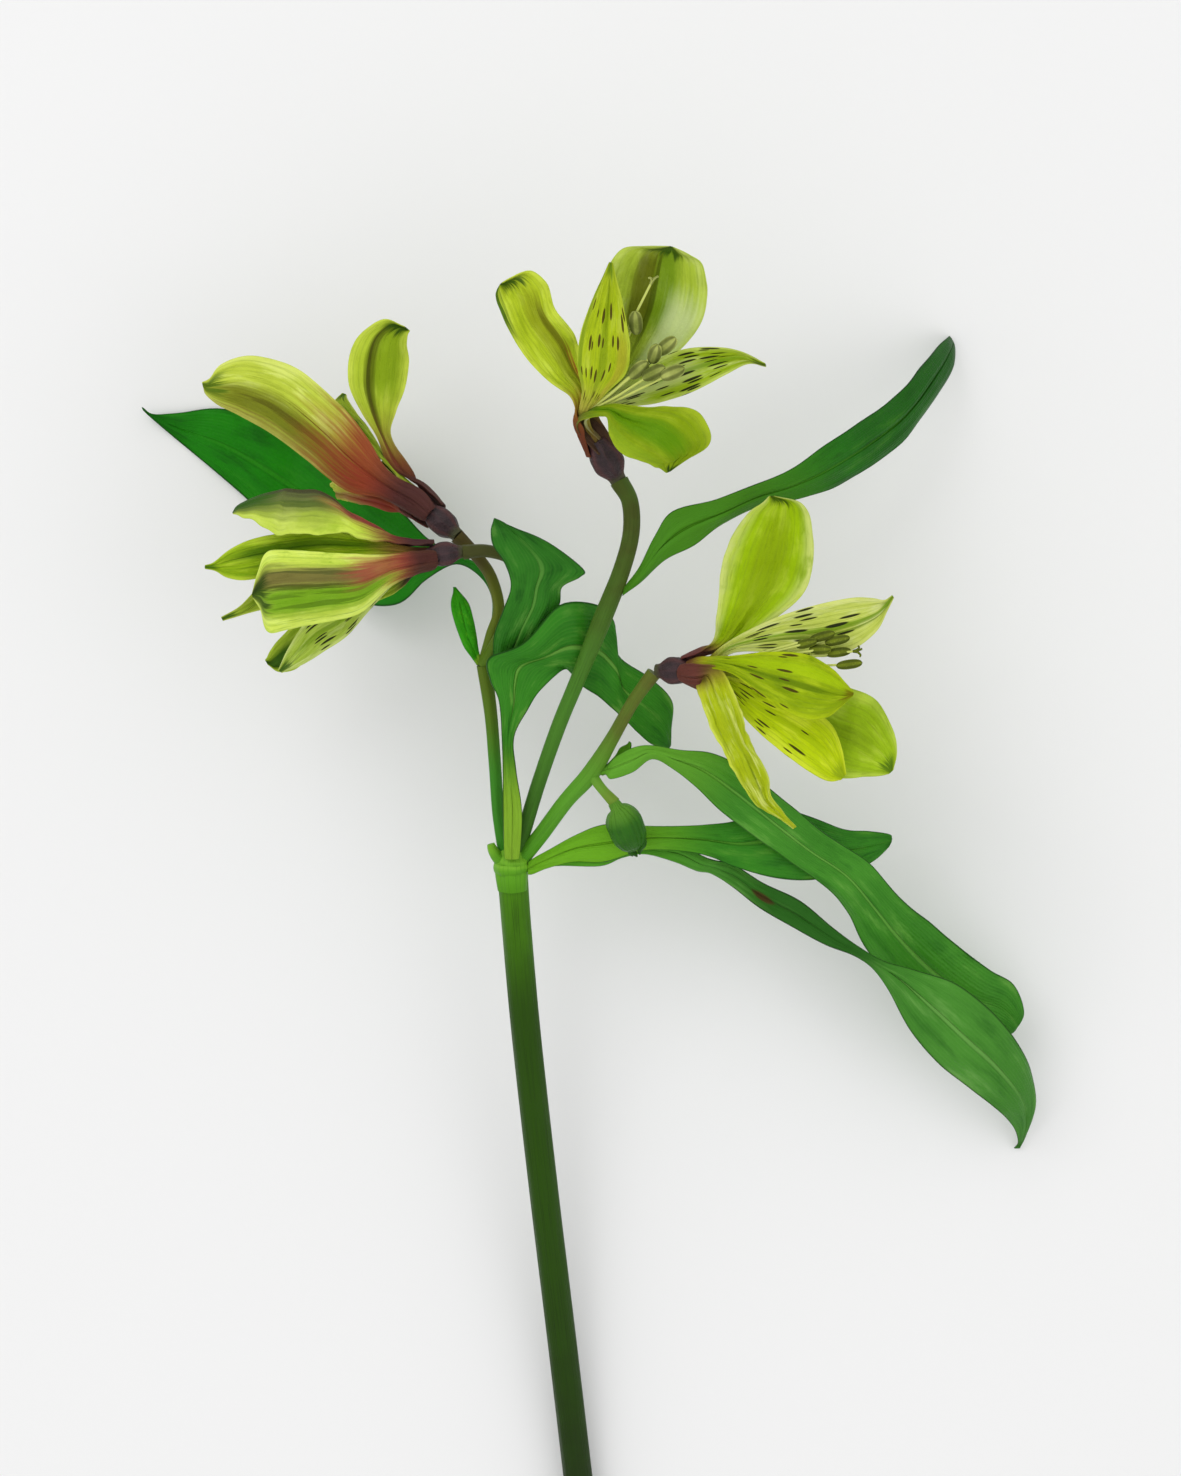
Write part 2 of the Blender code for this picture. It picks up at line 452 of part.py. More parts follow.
BLOOM_RIGHT = {
    "ovary_base": (29.4, 39.0, 47.4),
    "axis": (0.93, 0.02, 0.36),
    "ovary_length": 5.5,
    "ovary_radius": 2.8,
    "claw_length": 3.5,
    "outer": {
        "top": (-100.0, (
            ((40.2, 45.2, 50.0), (44.2, 43.8, 50.6), 0.3),
            ((41.0, 50.8, 50.5), (51.2, 48.4, 52.0), 0.8),
            ((41.8, 59.2, 51.0), (58.2, 54.4, 53.4), 1.6),
            ((43.6, 65.2, 52.0), (60.2, 61.2, 55.0), 1.8),
            ((47.0, 70.4, 53.5), (59.8, 68.8, 56.2), 1.4),
            ((50.0, 72.6, 54.5), (57.6, 72.6, 56.5), 0.6),
            ((51.4, 74.0, 55.0), (52.6, 74.0, 55.3), 0.0),
        )),
        "down": (20.0, (
            ((37.8, 36.8, 53.2), (40.8, 39.0, 54.0), 0.2),
            ((38.8, 31.2, 56.0), (44.6, 33.2, 56.0), 0.6),
            ((40.4, 26.2, 58.0), (46.2, 28.8, 55.6), 1.0),
            ((43.2, 20.8, 57.6), (48.0, 24.2, 55.4), 1.0),
            ((46.6, 15.2, 55.2), (51.2, 18.2, 55.6), 0.7),
            ((49.6, 11.6, 53.0), (51.8, 14.2, 54.2), 0.3),
            ((53.2, 9.6, 51.0), (54.2, 10.8, 51.8), 0.1),
            ((56.2, 7.4, 50.0), (56.9, 7.9, 50.2), 0.0),
        )),
        "low": (140.0, (
            ((42.6, 41.0, 47.4), (42.0, 35.8, 47.4), 0.4),
            ((50.6, 39.6, 48.0), (48.0, 30.2, 48.0), 1.0),
            ((59.6, 38.2, 49.5), (54.6, 24.2, 49.5), 1.6),
            ((67.6, 35.6, 51.0), (60.6, 19.6, 51.0), 1.8),
            ((72.8, 33.2, 52.0), (65.6, 17.6, 52.0), 1.6),
            ((76.2, 27.2, 52.5), (70.0, 17.8, 52.5), 0.8),
            ((77.0, 22.8, 52.3), (73.6, 18.0, 52.3), 0.3),
            ((76.3, 19.2, 52.0), (75.4, 18.4, 52.0), 0.0),
        )),
    },
    "inner": {
        "high": (200.0, (
            ((43.4, 45.0, 52.8), (44.2, 42.6, 53.0), 0.2),
            ((51.6, 49.2, 54.7), (53.2, 42.6, 54.0), 0.6),
            ((60.0, 52.0, 56.4), (62.0, 41.8, 56.0), 0.8),
            ((67.6, 53.6, 58.0), (68.0, 43.2, 57.5), 0.8),
            ((72.0, 53.6, 59.2), (72.8, 46.8, 58.8), 0.4),
            ((74.4, 53.2, 60.0), (75.0, 50.8, 59.8), 0.1),
            ((76.0, 54.2, 60.8), (76.4, 53.6, 60.8), 0.0),
        )),
        "near": (-40.0, (
            ((43.6, 42.0, 54.8), (43.6, 38.6, 55.4), 0.2),
            ((50.6, 42.8, 57.2), (50.6, 33.6, 57.8), 0.6),
            ((58.6, 42.4, 59.2), (57.6, 29.6, 59.4), 0.9),
            ((64.0, 39.6, 60.6), (62.6, 29.6, 60.8), 0.7),
            ((66.8, 36.6, 61.6), (65.6, 31.6, 61.6), 0.3),
            ((68.4, 34.8, 62.2), (68.2, 34.0, 62.2), 0.0),
        )),
        "low": (80.0, (
            ((43.2, 38.0, 51.4), (42.2, 35.4, 51.0), 0.2),
            ((50.6, 35.2, 52.6), (47.2, 28.8, 51.8), 0.6),
            ((58.6, 32.2, 54.2), (53.2, 23.4, 53.4), 0.9),
            ((64.0, 28.2, 55.8), (59.2, 19.0, 55.0), 0.8),
            ((66.0, 23.2, 56.8), (63.2, 17.0, 56.4), 0.3),
            ((66.9, 18.4, 57.3), (65.8, 17.2, 57.3), 0.0),
        )),
    },
}

# Anther middles, six for each bloom, and the stigma last
ANTHERS_UPPER_LEFT = (
    (-24.0, 79.6, 35.8),
    (-25.4, 77.8, 34.5),
    (-26.0, 78.4, 37.0),
    (-28.7, 82.8, 35.0),
    (-28.2, 82.2, 32.6),
    (-29.9, 80.8, 33.9),
    (-31.6, 84.2, 32.6),
)
ANTHERS_LOWER_LEFT = (
    (-40.0, 60.0, 48.5),
    (-41.5, 56.5, 48.0),
    (-43.0, 62.5, 48.0),
    (-38.0, 63.0, 46.8),
    (-44.0, 58.5, 47.8),
    (-38.5, 57.0, 49.0),
    (-48.0, 60.5, 48.0),
)
ANTHERS_TOP = (
    (29.6, 101.4, 68.0),
    (32.0, 103.0, 68.6),
    (33.2, 97.6, 69.4),
    (25.8, 107.6, 66.6),
    (26.4, 98.2, 66.0),
    (29.4, 97.6, 67.4),
    (28.8, 115.4, 69.4),
)
ANTHERS_RIGHT = (
    (60.2, 45.0, 59.6),
    (63.8, 44.4, 59.8),
    (66.0, 42.0, 60.6),
    (57.4, 46.2, 58.8),
    (63.6, 46.8, 60.0),
    (60.6, 47.6, 59.6),
    (66.8, 44.6, 61.0),
)


def seen(point):
    """Give the true place of a point that is seen at x, y and lies at height z."""
    x, y, z = point
    nearer = 1.0 - z / VIEW_HEIGHT
    cx, cy = VIEW_CENTRE
    return Vector((cx + (x - cx) * nearer, cy + (y - cy) * nearer, z))


def clear_scene():
    """Start from an empty scene."""
    for thing in list(bpy.data.objects):
        bpy.data.objects.remove(thing, do_unlink=True)
    for group in list(bpy.data.collections):
        bpy.data.collections.remove(group)


def linear(colour):
    """Turn a daylight colour into the linear values that a shader takes."""
    return tuple(c / 12.92 if c <= 0.04045 else ((c + 0.055) / 1.055) ** 2.4 for c in colour)


def plant_material(name, colour, roughness):
    """A plain plant surface: coloured, not metallic."""
    material = bpy.data.materials.new(name)
    material.use_nodes = True
    surface = material.node_tree.nodes["Principled BSDF"]
    surface.inputs["Base Color"].default_value = (*linear(colour), 1.0)
    surface.inputs["Roughness"].default_value = roughness
    surface.inputs["Metallic"].default_value = 0.0
    return material


def smooth_values(values, samples, settle):
    """Run a smooth curve through values. With settle on, it never overshoots them."""
    last = len(values) - 1
    slopes = []
    for i in range(last + 1):
        before = values[i] - values[i - 1] if i > 0 else values[1] - values[0]
        after = values[i + 1] - values[i] if i < last else values[last] - values[last - 1]
        slope = (before + after) / 2
        if settle and before * after <= 0:
            slope = 0.0
        elif settle:
            limit = 2.5 * min(abs(before), abs(after))
            slope = max(-limit, min(limit, slope))
        slopes.append(slope)
    out = []
    for k in range(samples + 1):
        place = k / samples * last
        i = min(int(place), last - 1)
        t = place - i
        h00 = 2 * t ** 3 - 3 * t ** 2 + 1
        h10 = t ** 3 - 2 * t ** 2 + t
        h01 = -2 * t ** 3 + 3 * t ** 2
        h11 = t ** 3 - t ** 2
        out.append(h00 * values[i] + h10 * slopes[i] + h01 * values[i + 1] + h11 * slopes[i + 1])
    return out


def smooth_points(points, samples):
    """Run a smooth line through points. Its height never dips below theirs."""
    xs = smooth_values([p[0] for p in points], samples, False)
    ys = smooth_values([p[1] for p in points], samples, False)
    zs = smooth_values([p[2] for p in points], samples, True)
    return [Vector(p) for p in zip(xs, ys, zs)]


def finish_mesh(name, vertices, faces, material, collection):
    """Make a closed body in metres with its faces outwards."""
    mesh = bpy.data.meshes.new(name)
    mesh.from_pydata([tuple(v * MM) for v in vertices], [], faces)
    body = bmesh.new()
    body.from_mesh(mesh)
    bmesh.ops.recalc_face_normals(body, faces=body.faces)
    body.to_mesh(mesh)
    body.free()
    mesh.shade_smooth()
    mesh.materials.append(material)
    thing = bpy.data.objects.new(name, mesh)
    collection.objects.link(thing)
    return thing


def blade_grid(stations, outward):
    """Lay a grid of points between a blade's two edges, bulged outwards in the middle."""
    rows = round(ROWS_PER_STATION * (len(stations) - 1))
    left = smooth_points([s[0] for s in stations], rows)
    right = smooth_points([s[1] for s in stations], rows)
    bulge = smooth_values([s[2] for s in stations], rows, True)
    middle = [(a + b) / 2 for a, b in zip(left, right)]
    normals = []
    for i in range(rows + 1):
        along = middle[min(i + 1, rows)] - middle[max(i - 1, 0)]
        normals.append(along.cross(right[i] - left[i]).normalized())
    side = sum(n.dot(outward(m)) for n, m in zip(normals, middle))
    turn = 1.0 if side > 0 else -1.0
    grid = []
    for i in range(rows + 1):
        row = []
        for j in range(BLADE_COLUMNS + 1):
            v = j / BLADE_COLUMNS
            lift = turn * bulge[i] * (1 - (2 * v - 1) ** 2)
            row.append(left[i].lerp(right[i], v) + normals[i] * lift)
        grid.append(row)
    return grid


def blade(name, stations, thickness, outward, material, collection):
    """A thin closed blade through its stations, with the same triangles on both faces."""
    grid = blade_grid(stations, outward)
    rows = len(grid)
    columns = BLADE_COLUMNS + 1
    upper = []
    lower = []
    for i in range(rows):
        for j in range(columns):
            along = grid[min(i + 1, rows - 1)][j] - grid[max(i - 1, 0)][j]
            across = grid[i][min(j + 1, columns - 1)] - grid[i][max(j - 1, 0)]
            offset = along.cross(across).normalized() * (thickness / 2)
            upper.append(grid[i][j] + offset)
            lower.append(grid[i][j] - offset)
    count = rows * columns
    faces = []
    for i in range(rows - 1):
        for j in range(columns - 1):
            a = i * columns + j
            b = a + 1
            c = b + columns
            d = a + columns
            faces += [(a, b, c), (a, c, d)]
            faces += [(count + a, count + c, count + b), (count + a, count + d, count + c)]
    rim = list(range(columns))
    rim += [i * columns + columns - 1 for i in range(1, rows)]
    rim += [(rows - 1) * columns + j for j in range(columns - 2, -1, -1)]
    rim += [i * columns for i in range(rows - 2, 0, -1)]
    for a, b in zip(rim, rim[1:] + rim[:1]):
        faces += [(a, count + b, b), (a, count + a, count + b)]
    return finish_mesh(name, upper + lower, faces, material, collection)


def round_body(name, line, sides, samples, material, collection, slant=0.0):
    """A round body along a line of points with radii. The last end can be cut on a slant."""
    centres = smooth_points([seen(p[:3]) for p in line], samples)
    radii = smooth_values([p[3] for p in line], samples, True)
    vertices = []
    across = Vector((0, 0, 1))
    for i, centre in enumerate(centres):
        along = (centres[min(i + 1, samples)] - centres[max(i - 1, 0)]).normalized()
        across = (across - along * across.dot(along)).normalized()
        third = along.cross(across)
        for k in range(sides):
            angle = 2 * pi * k / sides
            push = radii[i] * slant * sin(angle) if i == samples else 0.0
            ring = across * cos(angle) + third * sin(angle)
            vertices.append(centre + ring * radii[i] + along * push)
    faces = [tuple(range(sides))]
    for i in range(samples):
        for k in range(sides):
            a = i * sides + k
            b = i * sides + (k + 1) % sides
            faces.append((a, b, b + sides, a + sides))
    faces.append(tuple(range(samples * sides, (samples + 1) * sides)))
    return finish_mesh(name, vertices, faces, material, collection)


def ellipsoid(name, centre, along, length, radius, segments, material, collection):
    """A lengthened ball round a centre."""
    body = bmesh.new()
    bmesh.ops.create_uvsphere(body, u_segments=segments, v_segments=segments - 1, radius=1.0)
    turn = Vector((0, 0, 1)).rotation_difference(along)
    vertices = []
    for corner in body.verts:
        scaled = Vector((corner.co.x * radius, corner.co.y * radius, corner.co.z * length / 2))
        vertices.append(centre + turn @ scaled)
    faces = [tuple(v.index for v in face.verts) for face in body.faces]
    body.free()
    return finish_mesh(name, vertices, faces, material, collection)


def join_bodies(first, others_group):
    """Unite a body with all bodies of a collection, then drop the collection."""
    union = first.modifiers.new("union", "BOOLEAN")
    union.operation = "UNION"
    union.solver = "MANIFOLD"
    union.operand_type = "COLLECTION"
    union.collection = others_group
    bpy.context.view_layer.update()
    mesh = bpy.data.meshes.new_from_object(first.evaluated_get(bpy.context.evaluated_depsgraph_get()))
    first.modifiers.clear()
    first.data = mesh
    for thing in list(others_group.objects):
        bpy.data.objects.remove(thing, do_unlink=True)
    bpy.data.collections.remove(others_group)
    return first


def new_group(name):
    """A collection linked to the scene."""
    group = bpy.data.collections.new(name)
    bpy.context.scene.collection.children.link(group)
    return group


def make_stem(collection):
    """The main stem, the umbel node, three rays, two pedicels and the bud stalk, grown as one."""
    green = plant_material("stem_green", STEM_GREEN, 0.45)
    stem = round_body("stem", MAIN_STEM, STEM_SIDES, 18, green, collection, slant=0.35)
    grown = new_group("grown")
    node_centre = seen((0.0, 0.4, 30.0))
    up_stem = Vector((0, 1, 0))
    ellipsoid("umbel", node_centre, up_stem, 6.0, UMBEL_NODE_RADIUS, 10, green, grown)
    round_body("ray_left", RAY_LEFT, RAY_SIDES, 8, green, grown)
    round_body("ray_top", RAY_TOP, RAY_SIDES, 18, green, grown)
    round_body("ray_right", RAY_RIGHT, RAY_SIDES, 12, green, grown)
    round_body("pedicel_upper_left", PEDICEL_UPPER_LEFT, RAY_SIDES, 10, green, grown)
    round_body("pedicel_lower_left", PEDICEL_LOWER_LEFT, RAY_SIDES, 12, green, grown)
    round_body("bud_stalk", BUD_STALK, RAY_SIDES, 4, green, grown)
    return join_bodies(stem, grown)


def make_leaves(collection):
    """Seven leaves and two small bracts."""
    green = plant_material("leaf_green", LEAF_GREEN, 0.4)
    dark = plant_material("leaf_dark_green", LEAF_DARK_GREEN, 0.4)
    pale = plant_material("bract_green", BRACT_GREEN, 0.45)
    leaves = (
        ("leaf_upper_right", LEAF_UPPER_RIGHT, dark),
        ("leaf_behind_left", LEAF_BEHIND_LEFT, dark),
        ("leaf_upright", LEAF_UPRIGHT, green),
        ("leaf_arching", LEAF_ARCHING, green),
        ("leaf_right_long", LEAF_RIGHT_LONG, green),
        ("leaf_right_straight", LEAF_RIGHT_STRAIGHT, green),
        ("leaf_drooping", LEAF_DROOPING, green),
        ("bract_left", BRACT_LEFT, pale),
        ("bract_right", BRACT_RIGHT, pale),
    )
    for name, stations, material in leaves:
        placed = [(seen(left), seen(right), bulge) for left, right, bulge in stations]
        blade(name, placed, LEAF_THICKNESS, lambda place: Vector((0, 0, 1)), material, collection)


def claw_stations(top, axis, radial, ring, width, length):
    """The narrow foot of a tepal: two stations that rise from the ovary along the axis."""
    across = axis.cross(radial).normalized() * (width / 2)
    foot = top + axis * CLEARANCE + radial * ring
    end = top + axis * length + radial * (ring + 0.2 * length)
    return [(foot - across, foot + across, 0.0), (end - across, end + across, 0.0)]


def make_tepal(name, top, axis, angle, stations, ring, width, length, material, collection):
    """One tepal: a claw on the ovary and a blade through its stations."""
    to_view = (Vector((0, 0, 1)) - axis * axis.z).normalized()
    to_side = axis.cross(to_view)
    radial = to_view * cos(radians(angle)) + to_side * sin(radians(angle))
    claw = claw_stations(top, axis, radial, ring, width, length)
    blade_part = [(seen(left), seen(right), bulge) for left, right, bulge in stations]
    first_left, first_right, bulge = blade_part[0]
    if (first_right - first_left).dot(axis.cross(radial)) < 0:
        claw = [(right, left, bulge) for left, right, bulge in claw]

    def outward(place):
        away = place - top
        return away - axis * away.dot(axis)

    return blade(name, claw + blade_part, TEPAL_THICKNESS, outward, material, collection)


def make_ovary(name, bloom, material, collection):
    """The ovary below a bloom: a short round body that swells towards its top."""
    base = seen(bloom["ovary_base"])
    axis = Vector(bloom["axis"]).normalized()
    length = bloom["ovary_length"]
    radius = bloom["ovary_radius"]
    profile = ((0.06, 0.5), (0.3, 0.85), (0.6, 1.0), (0.85, 0.95), (1.0, 0.8))
    sides = 10
    vertices = []
    across = axis.orthogonal().normalized()
    third = axis.cross(across)
    for place, share in profile:
        centre = base + axis * (length * place)
        for k in range(sides):
            angle = 2 * pi * k / sides
            vertices.append(centre + (across * cos(angle) + third * sin(angle)) * radius * share)
    faces = [tuple(range(sides))]
    for i in range(len(profile) - 1):
        for k in range(sides):
            a = i * sides + k
            b = i * sides + (k + 1) % sides
            faces.append((a, b, b + sides, a + sides))
    faces.append(tuple(range((len(profile) - 1) * sides, len(profile) * sides)))
    return finish_mesh(name, vertices, faces, material, collection)


def make_stamens(name, top, axis, claw_length, anthers, material, collection):
    """Six stamens and a style that leave the ovary as one bundle."""
    bundle = new_group("bundle")
    root = top + axis * CLEARANCE
    hub = ellipsoid(name, root + axis * 1.2, axis, 2.4, 0.55, 8, material, collection)
    across = axis.orthogonal().normalized()
    third = axis.cross(across)
    for k, place in enumerate(anthers):
        angle = 2 * pi * k / 6
        is_style = k == len(anthers) - 1
        ring = (across * cos(angle) + third * sin(angle)) * (0.0 if is_style else STAMEN_RING)
        start = root + axis * 1.0 + ring
        throat = root + axis * claw_length + ring * 2
        end = seen(place)
        arch = throat.lerp(end, 0.5) + Vector((0, 0, FILAMENT_ARCH))
        line = smooth_points([start, throat, arch, end], FILAMENT_STEPS)
        vertices = []
        turn = across
        for i, centre in enumerate(line):
            along = (line[min(i + 1, FILAMENT_STEPS)] - line[max(i - 1, 0)]).normalized()
            turn = (turn - along * turn.dot(along)).normalized()
            other = along.cross(turn)
            for s in range(FILAMENT_SIDES):
                a = 2 * pi * s / FILAMENT_SIDES
                vertices.append(centre + (turn * cos(a) + other * sin(a)) * FILAMENT_RADIUS)
        faces = [tuple(range(FILAMENT_SIDES))]
        for i in range(FILAMENT_STEPS):
            for s in range(FILAMENT_SIDES):
                a = i * FILAMENT_SIDES + s
                b = i * FILAMENT_SIDES + (s + 1) % FILAMENT_SIDES
                faces.append((a, b, b + FILAMENT_SIDES, a + FILAMENT_SIDES))
        count = len(vertices)
        faces.append(tuple(range(count - FILAMENT_SIDES, count)))
        finish_mesh("filament", vertices, faces, material, bundle)
        tip = (end - line[-2]).normalized()
        length = 2.0 if is_style else ANTHER_LENGTH
        radius = 0.8 if is_style else ANTHER_RADIUS
        ellipsoid("anther", end, tip, length, radius, ANTHER_SEGMENTS, material, bundle)
    return join_bodies(hub, bundle)


def make_bloom(name, bloom, anthers, collection):
    """One bloom: ovary, three outer and three inner tepals, and the stamens."""
    purple = plant_material(name + "_ovary_purple", OVARY_PURPLE, 0.5)
    outer = plant_material(name + "_outer_lime", OUTER_TEPAL_LIME, 0.5)
    inner = plant_material(name + "_inner_lime", INNER_TEPAL_LIME, 0.5)
    olive = plant_material(name + "_stamen_olive", STAMEN_OLIVE, 0.6)
    make_ovary(name + "_ovary", bloom, purple, collection)
    axis = Vector(bloom["axis"]).normalized()
    top = seen(bloom["ovary_base"]) + axis * bloom["ovary_length"]
    length = bloom["claw_length"]
    for part, (angle, stations) in bloom["outer"].items():
        make_tepal(name + "_outer_" + part, top, axis, angle, stations,
                   OUTER_CLAW_RING, OUTER_CLAW_WIDTH, length, outer, collection)
    for part, (angle, stations) in bloom["inner"].items():
        make_tepal(name + "_inner_" + part, top, axis, angle, stations,
                   INNER_CLAW_RING, INNER_CLAW_WIDTH, length, inner, collection)
    make_stamens(name + "_stamens", top, axis, length, anthers, olive, collection)


def put_origin_below_middle(collection):
    """Move everything so that the origin is below the middle of the whole, on the plane."""
    corners = [v.co for thing in collection.objects for v in thing.data.vertices]
    low = [min(c[k] for c in corners) for k in range(3)]
    high = [max(c[k] for c in corners) for k in range(3)]
    shift = Vector((-(low[0] + high[0]) / 2, -(low[1] + high[1]) / 2, -low[2]))
    for thing in collection.objects:
        thing.location = shift
    print("origin moved by", [round(v / MM, 3) for v in shift])
    print("size", [round((high[k] - low[k]) / MM, 2) for k in range(3)])


def main():
    clear_scene()
    collection = new_group("alstroemeria_stem")
    make_stem(collection)
    bud = plant_material("bud_green", BRACT_GREEN, 0.45)
    round_body("side_bud", SIDE_BUD, 10, 8, bud, collection)
    make_leaves(collection)
    make_bloom("bloom_upper_left", BLOOM_UPPER_LEFT, ANTHERS_UPPER_LEFT, collection)
    make_bloom("bloom_lower_left", BLOOM_LOWER_LEFT, ANTHERS_LOWER_LEFT, collection)
    make_bloom("bloom_top", BLOOM_TOP, ANTHERS_TOP, collection)
    make_bloom("bloom_right", BLOOM_RIGHT, ANTHERS_RIGHT, collection)
    put_origin_below_middle(collection)


main()
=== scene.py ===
# %% [markdown]
# # A cut alstroemeria stem, dressed for its picture
#
# The solids of this flower are already modelled and packed with a physics model: a stem, leaves,
# six tepals for each of four blooms, ovaries, stamens and a bud. This lesson loads them as a fixed
# frame and gives each one a finer form and a surface made of shader nodes. The finer pieces follow
# the control points of their solids and add veins, ruffles and thin edges. A few depart from them
# to match the photograph: some petals are wider where they leave the tube, the tube of the top
# bloom is tighter, and the anthers of the two open blooms sit 1 to 2 mm from their solids.

from math import cos, pi, radians, sin

import bpy
import numpy as np
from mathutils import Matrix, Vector


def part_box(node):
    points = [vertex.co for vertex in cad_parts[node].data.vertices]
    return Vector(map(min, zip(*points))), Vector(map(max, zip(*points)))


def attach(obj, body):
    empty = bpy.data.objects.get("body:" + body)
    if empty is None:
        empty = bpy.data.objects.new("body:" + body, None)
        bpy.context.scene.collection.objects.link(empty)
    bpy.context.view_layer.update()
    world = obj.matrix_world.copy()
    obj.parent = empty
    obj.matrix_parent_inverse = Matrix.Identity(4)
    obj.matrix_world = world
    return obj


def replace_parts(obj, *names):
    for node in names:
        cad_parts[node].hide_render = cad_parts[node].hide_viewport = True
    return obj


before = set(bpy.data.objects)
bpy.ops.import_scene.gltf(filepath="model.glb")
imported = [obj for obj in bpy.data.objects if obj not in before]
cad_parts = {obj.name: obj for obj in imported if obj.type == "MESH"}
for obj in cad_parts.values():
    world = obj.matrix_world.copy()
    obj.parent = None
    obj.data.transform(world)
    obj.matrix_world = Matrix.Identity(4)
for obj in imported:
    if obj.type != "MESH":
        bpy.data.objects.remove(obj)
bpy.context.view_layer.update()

# %% [markdown]
# ## Where things are
#
# Lengths are easier to think about in millimetres, so every control point is written as a person
# sees it who looks straight down: x to the right and y up the stem, both from the node where the
# rays leave the stem, and z as the height above the table. A high point looks further from the
# middle of the view than it is, so `seen` pulls it back a little. One line of arithmetic here
# saves correcting every point by hand.

# %% The view and the node of the stem
MM = 0.001
VIEW_HEIGHT = 1500.0
VIEW_CENTRE = (15.7, 25.6)
UMBEL_NODE = Vector((-15.152, 18.573, 0.0))


def seen(point):
    """The true place, in millimetres from the umbel node, of a point seen at x, y and height z."""
    x, y, z = point
    nearer = 1.0 - z / VIEW_HEIGHT
    cx, cy = VIEW_CENTRE
    return Vector((cx + (x - cx) * nearer, cy + (y - cy) * nearer, z))


# %% [markdown]
# ## The camera
#
# The stem lies on a table and the camera hangs above it, so the picture shows it upright. A long
# lens from 1.5 m keeps the perspective weak, as in a catalogue photograph. The lens follows from
# the height of the field of view at the table: sensor size times distance over field size.

# %% Hang the camera over the table
FIELD_HEIGHT = 295.2
camera_data = bpy.data.cameras.new("camera")
camera_data.sensor_width = 36.0
camera_data.lens = camera_data.sensor_width * VIEW_HEIGHT / FIELD_HEIGHT
camera_data.clip_start = 0.05
camera_data.clip_end = 20.0
camera = bpy.data.objects.new("camera", camera_data)
camera.location = (UMBEL_NODE + Vector((*VIEW_CENTRE, VIEW_HEIGHT))) * MM
bpy.context.scene.collection.objects.link(camera)
bpy.context.scene.camera = camera
bpy.context.scene.view_settings.view_transform = "Standard"
print("lens:", round(camera_data.lens, 1), "mm")

# %% [markdown]
# ## Table and light
#
# A petal is thin and matt, so hard light would draw a black shadow under every edge. A real studio
# surrounds such a flower with white: here the world gives an even fill, and two large soft boxes
# add just enough direction to model the folds. The table is a plain pale sheet.

# %% Lay the table and hang the lights
TABLE_WHITE = "ebebeb"
TABLE_HALF_WIDTH = 3.0
TABLE_DROP = 0.0002  # keeps the table a hair below leaves that lie on it
WORLD_STRENGTH = 0.89
FLOWER_MIDDLE = Vector((0.0, 0.04, 0.03))


def linear(colour):
    """Turn a daylight colour, 0 to 1, into the linear values that a shader takes."""
    return tuple(c / 12.92 if c <= 0.04045 else ((c + 0.055) / 1.055) ** 2.4 for c in colour)


def paint(code):
    """A colour such as 9ab83c as linear red, green, blue and a full alpha."""
    parts = [int(code[i:i + 2], 16) / 255 for i in (0, 2, 4)]
    return (*linear(parts), 1.0)


def soft_box(name, place, size, power):
    """A square area light that looks at the middle of the flower."""
    light = bpy.data.lights.new(name, "AREA")
    light.shape = "SQUARE"
    light.size = size
    light.energy = power
    lamp = bpy.data.objects.new(name, light)
    lamp.location = place
    lamp.rotation_euler = (FLOWER_MIDDLE - Vector(place)).to_track_quat("-Z", "Y").to_euler()
    bpy.context.scene.collection.objects.link(lamp)


table_corners = [(x * TABLE_HALF_WIDTH, y * TABLE_HALF_WIDTH, 0.0)
                 for x, y in ((-1, -1), (1, -1), (1, 1), (-1, 1))]
table_mesh = bpy.data.meshes.new("table")
table_mesh.from_pydata(table_corners, [], [(0, 1, 2, 3)])
table = bpy.data.objects.new("table", table_mesh)
table.location.z = -TABLE_DROP
bpy.context.scene.collection.objects.link(table)
table_paper = bpy.data.materials.new("table_paper")
table_paper.use_nodes = True
paper = table_paper.node_tree.nodes["Principled BSDF"].inputs
paper["Base Color"].default_value = paint(TABLE_WHITE)
paper["Roughness"].default_value = 0.9
paper["Specular IOR Level"].default_value = 0.1
table_mesh.materials.append(table_paper)

world = bpy.data.worlds.new("studio")
world.use_nodes = True
sky = world.node_tree.nodes["Background"].inputs
sky["Color"].default_value = (1.0, 1.0, 1.0, 1.0)
sky["Strength"].default_value = WORLD_STRENGTH
bpy.context.scene.world = world
soft_box("key_light", place=(-0.8, 0.9, 1.5), size=1.2, power=8.0)
soft_box("fill_light", place=(1.2, -0.4, 1.5), size=1.4, power=3.0)

# %% [markdown]
# ## Smooth lines through control points
#
# Leaves, petals and stems all follow a few given points. A cubic curve through each pair of
# neighbours, with slopes taken from the points on either side, passes through every point and has
# no corners. `settle` flattens the slope at each peak, so heights never dip under the table.

# %% Curves through points
STEEPEST = 2.5  # a settled slope is at most this many times the flatter of its two sides


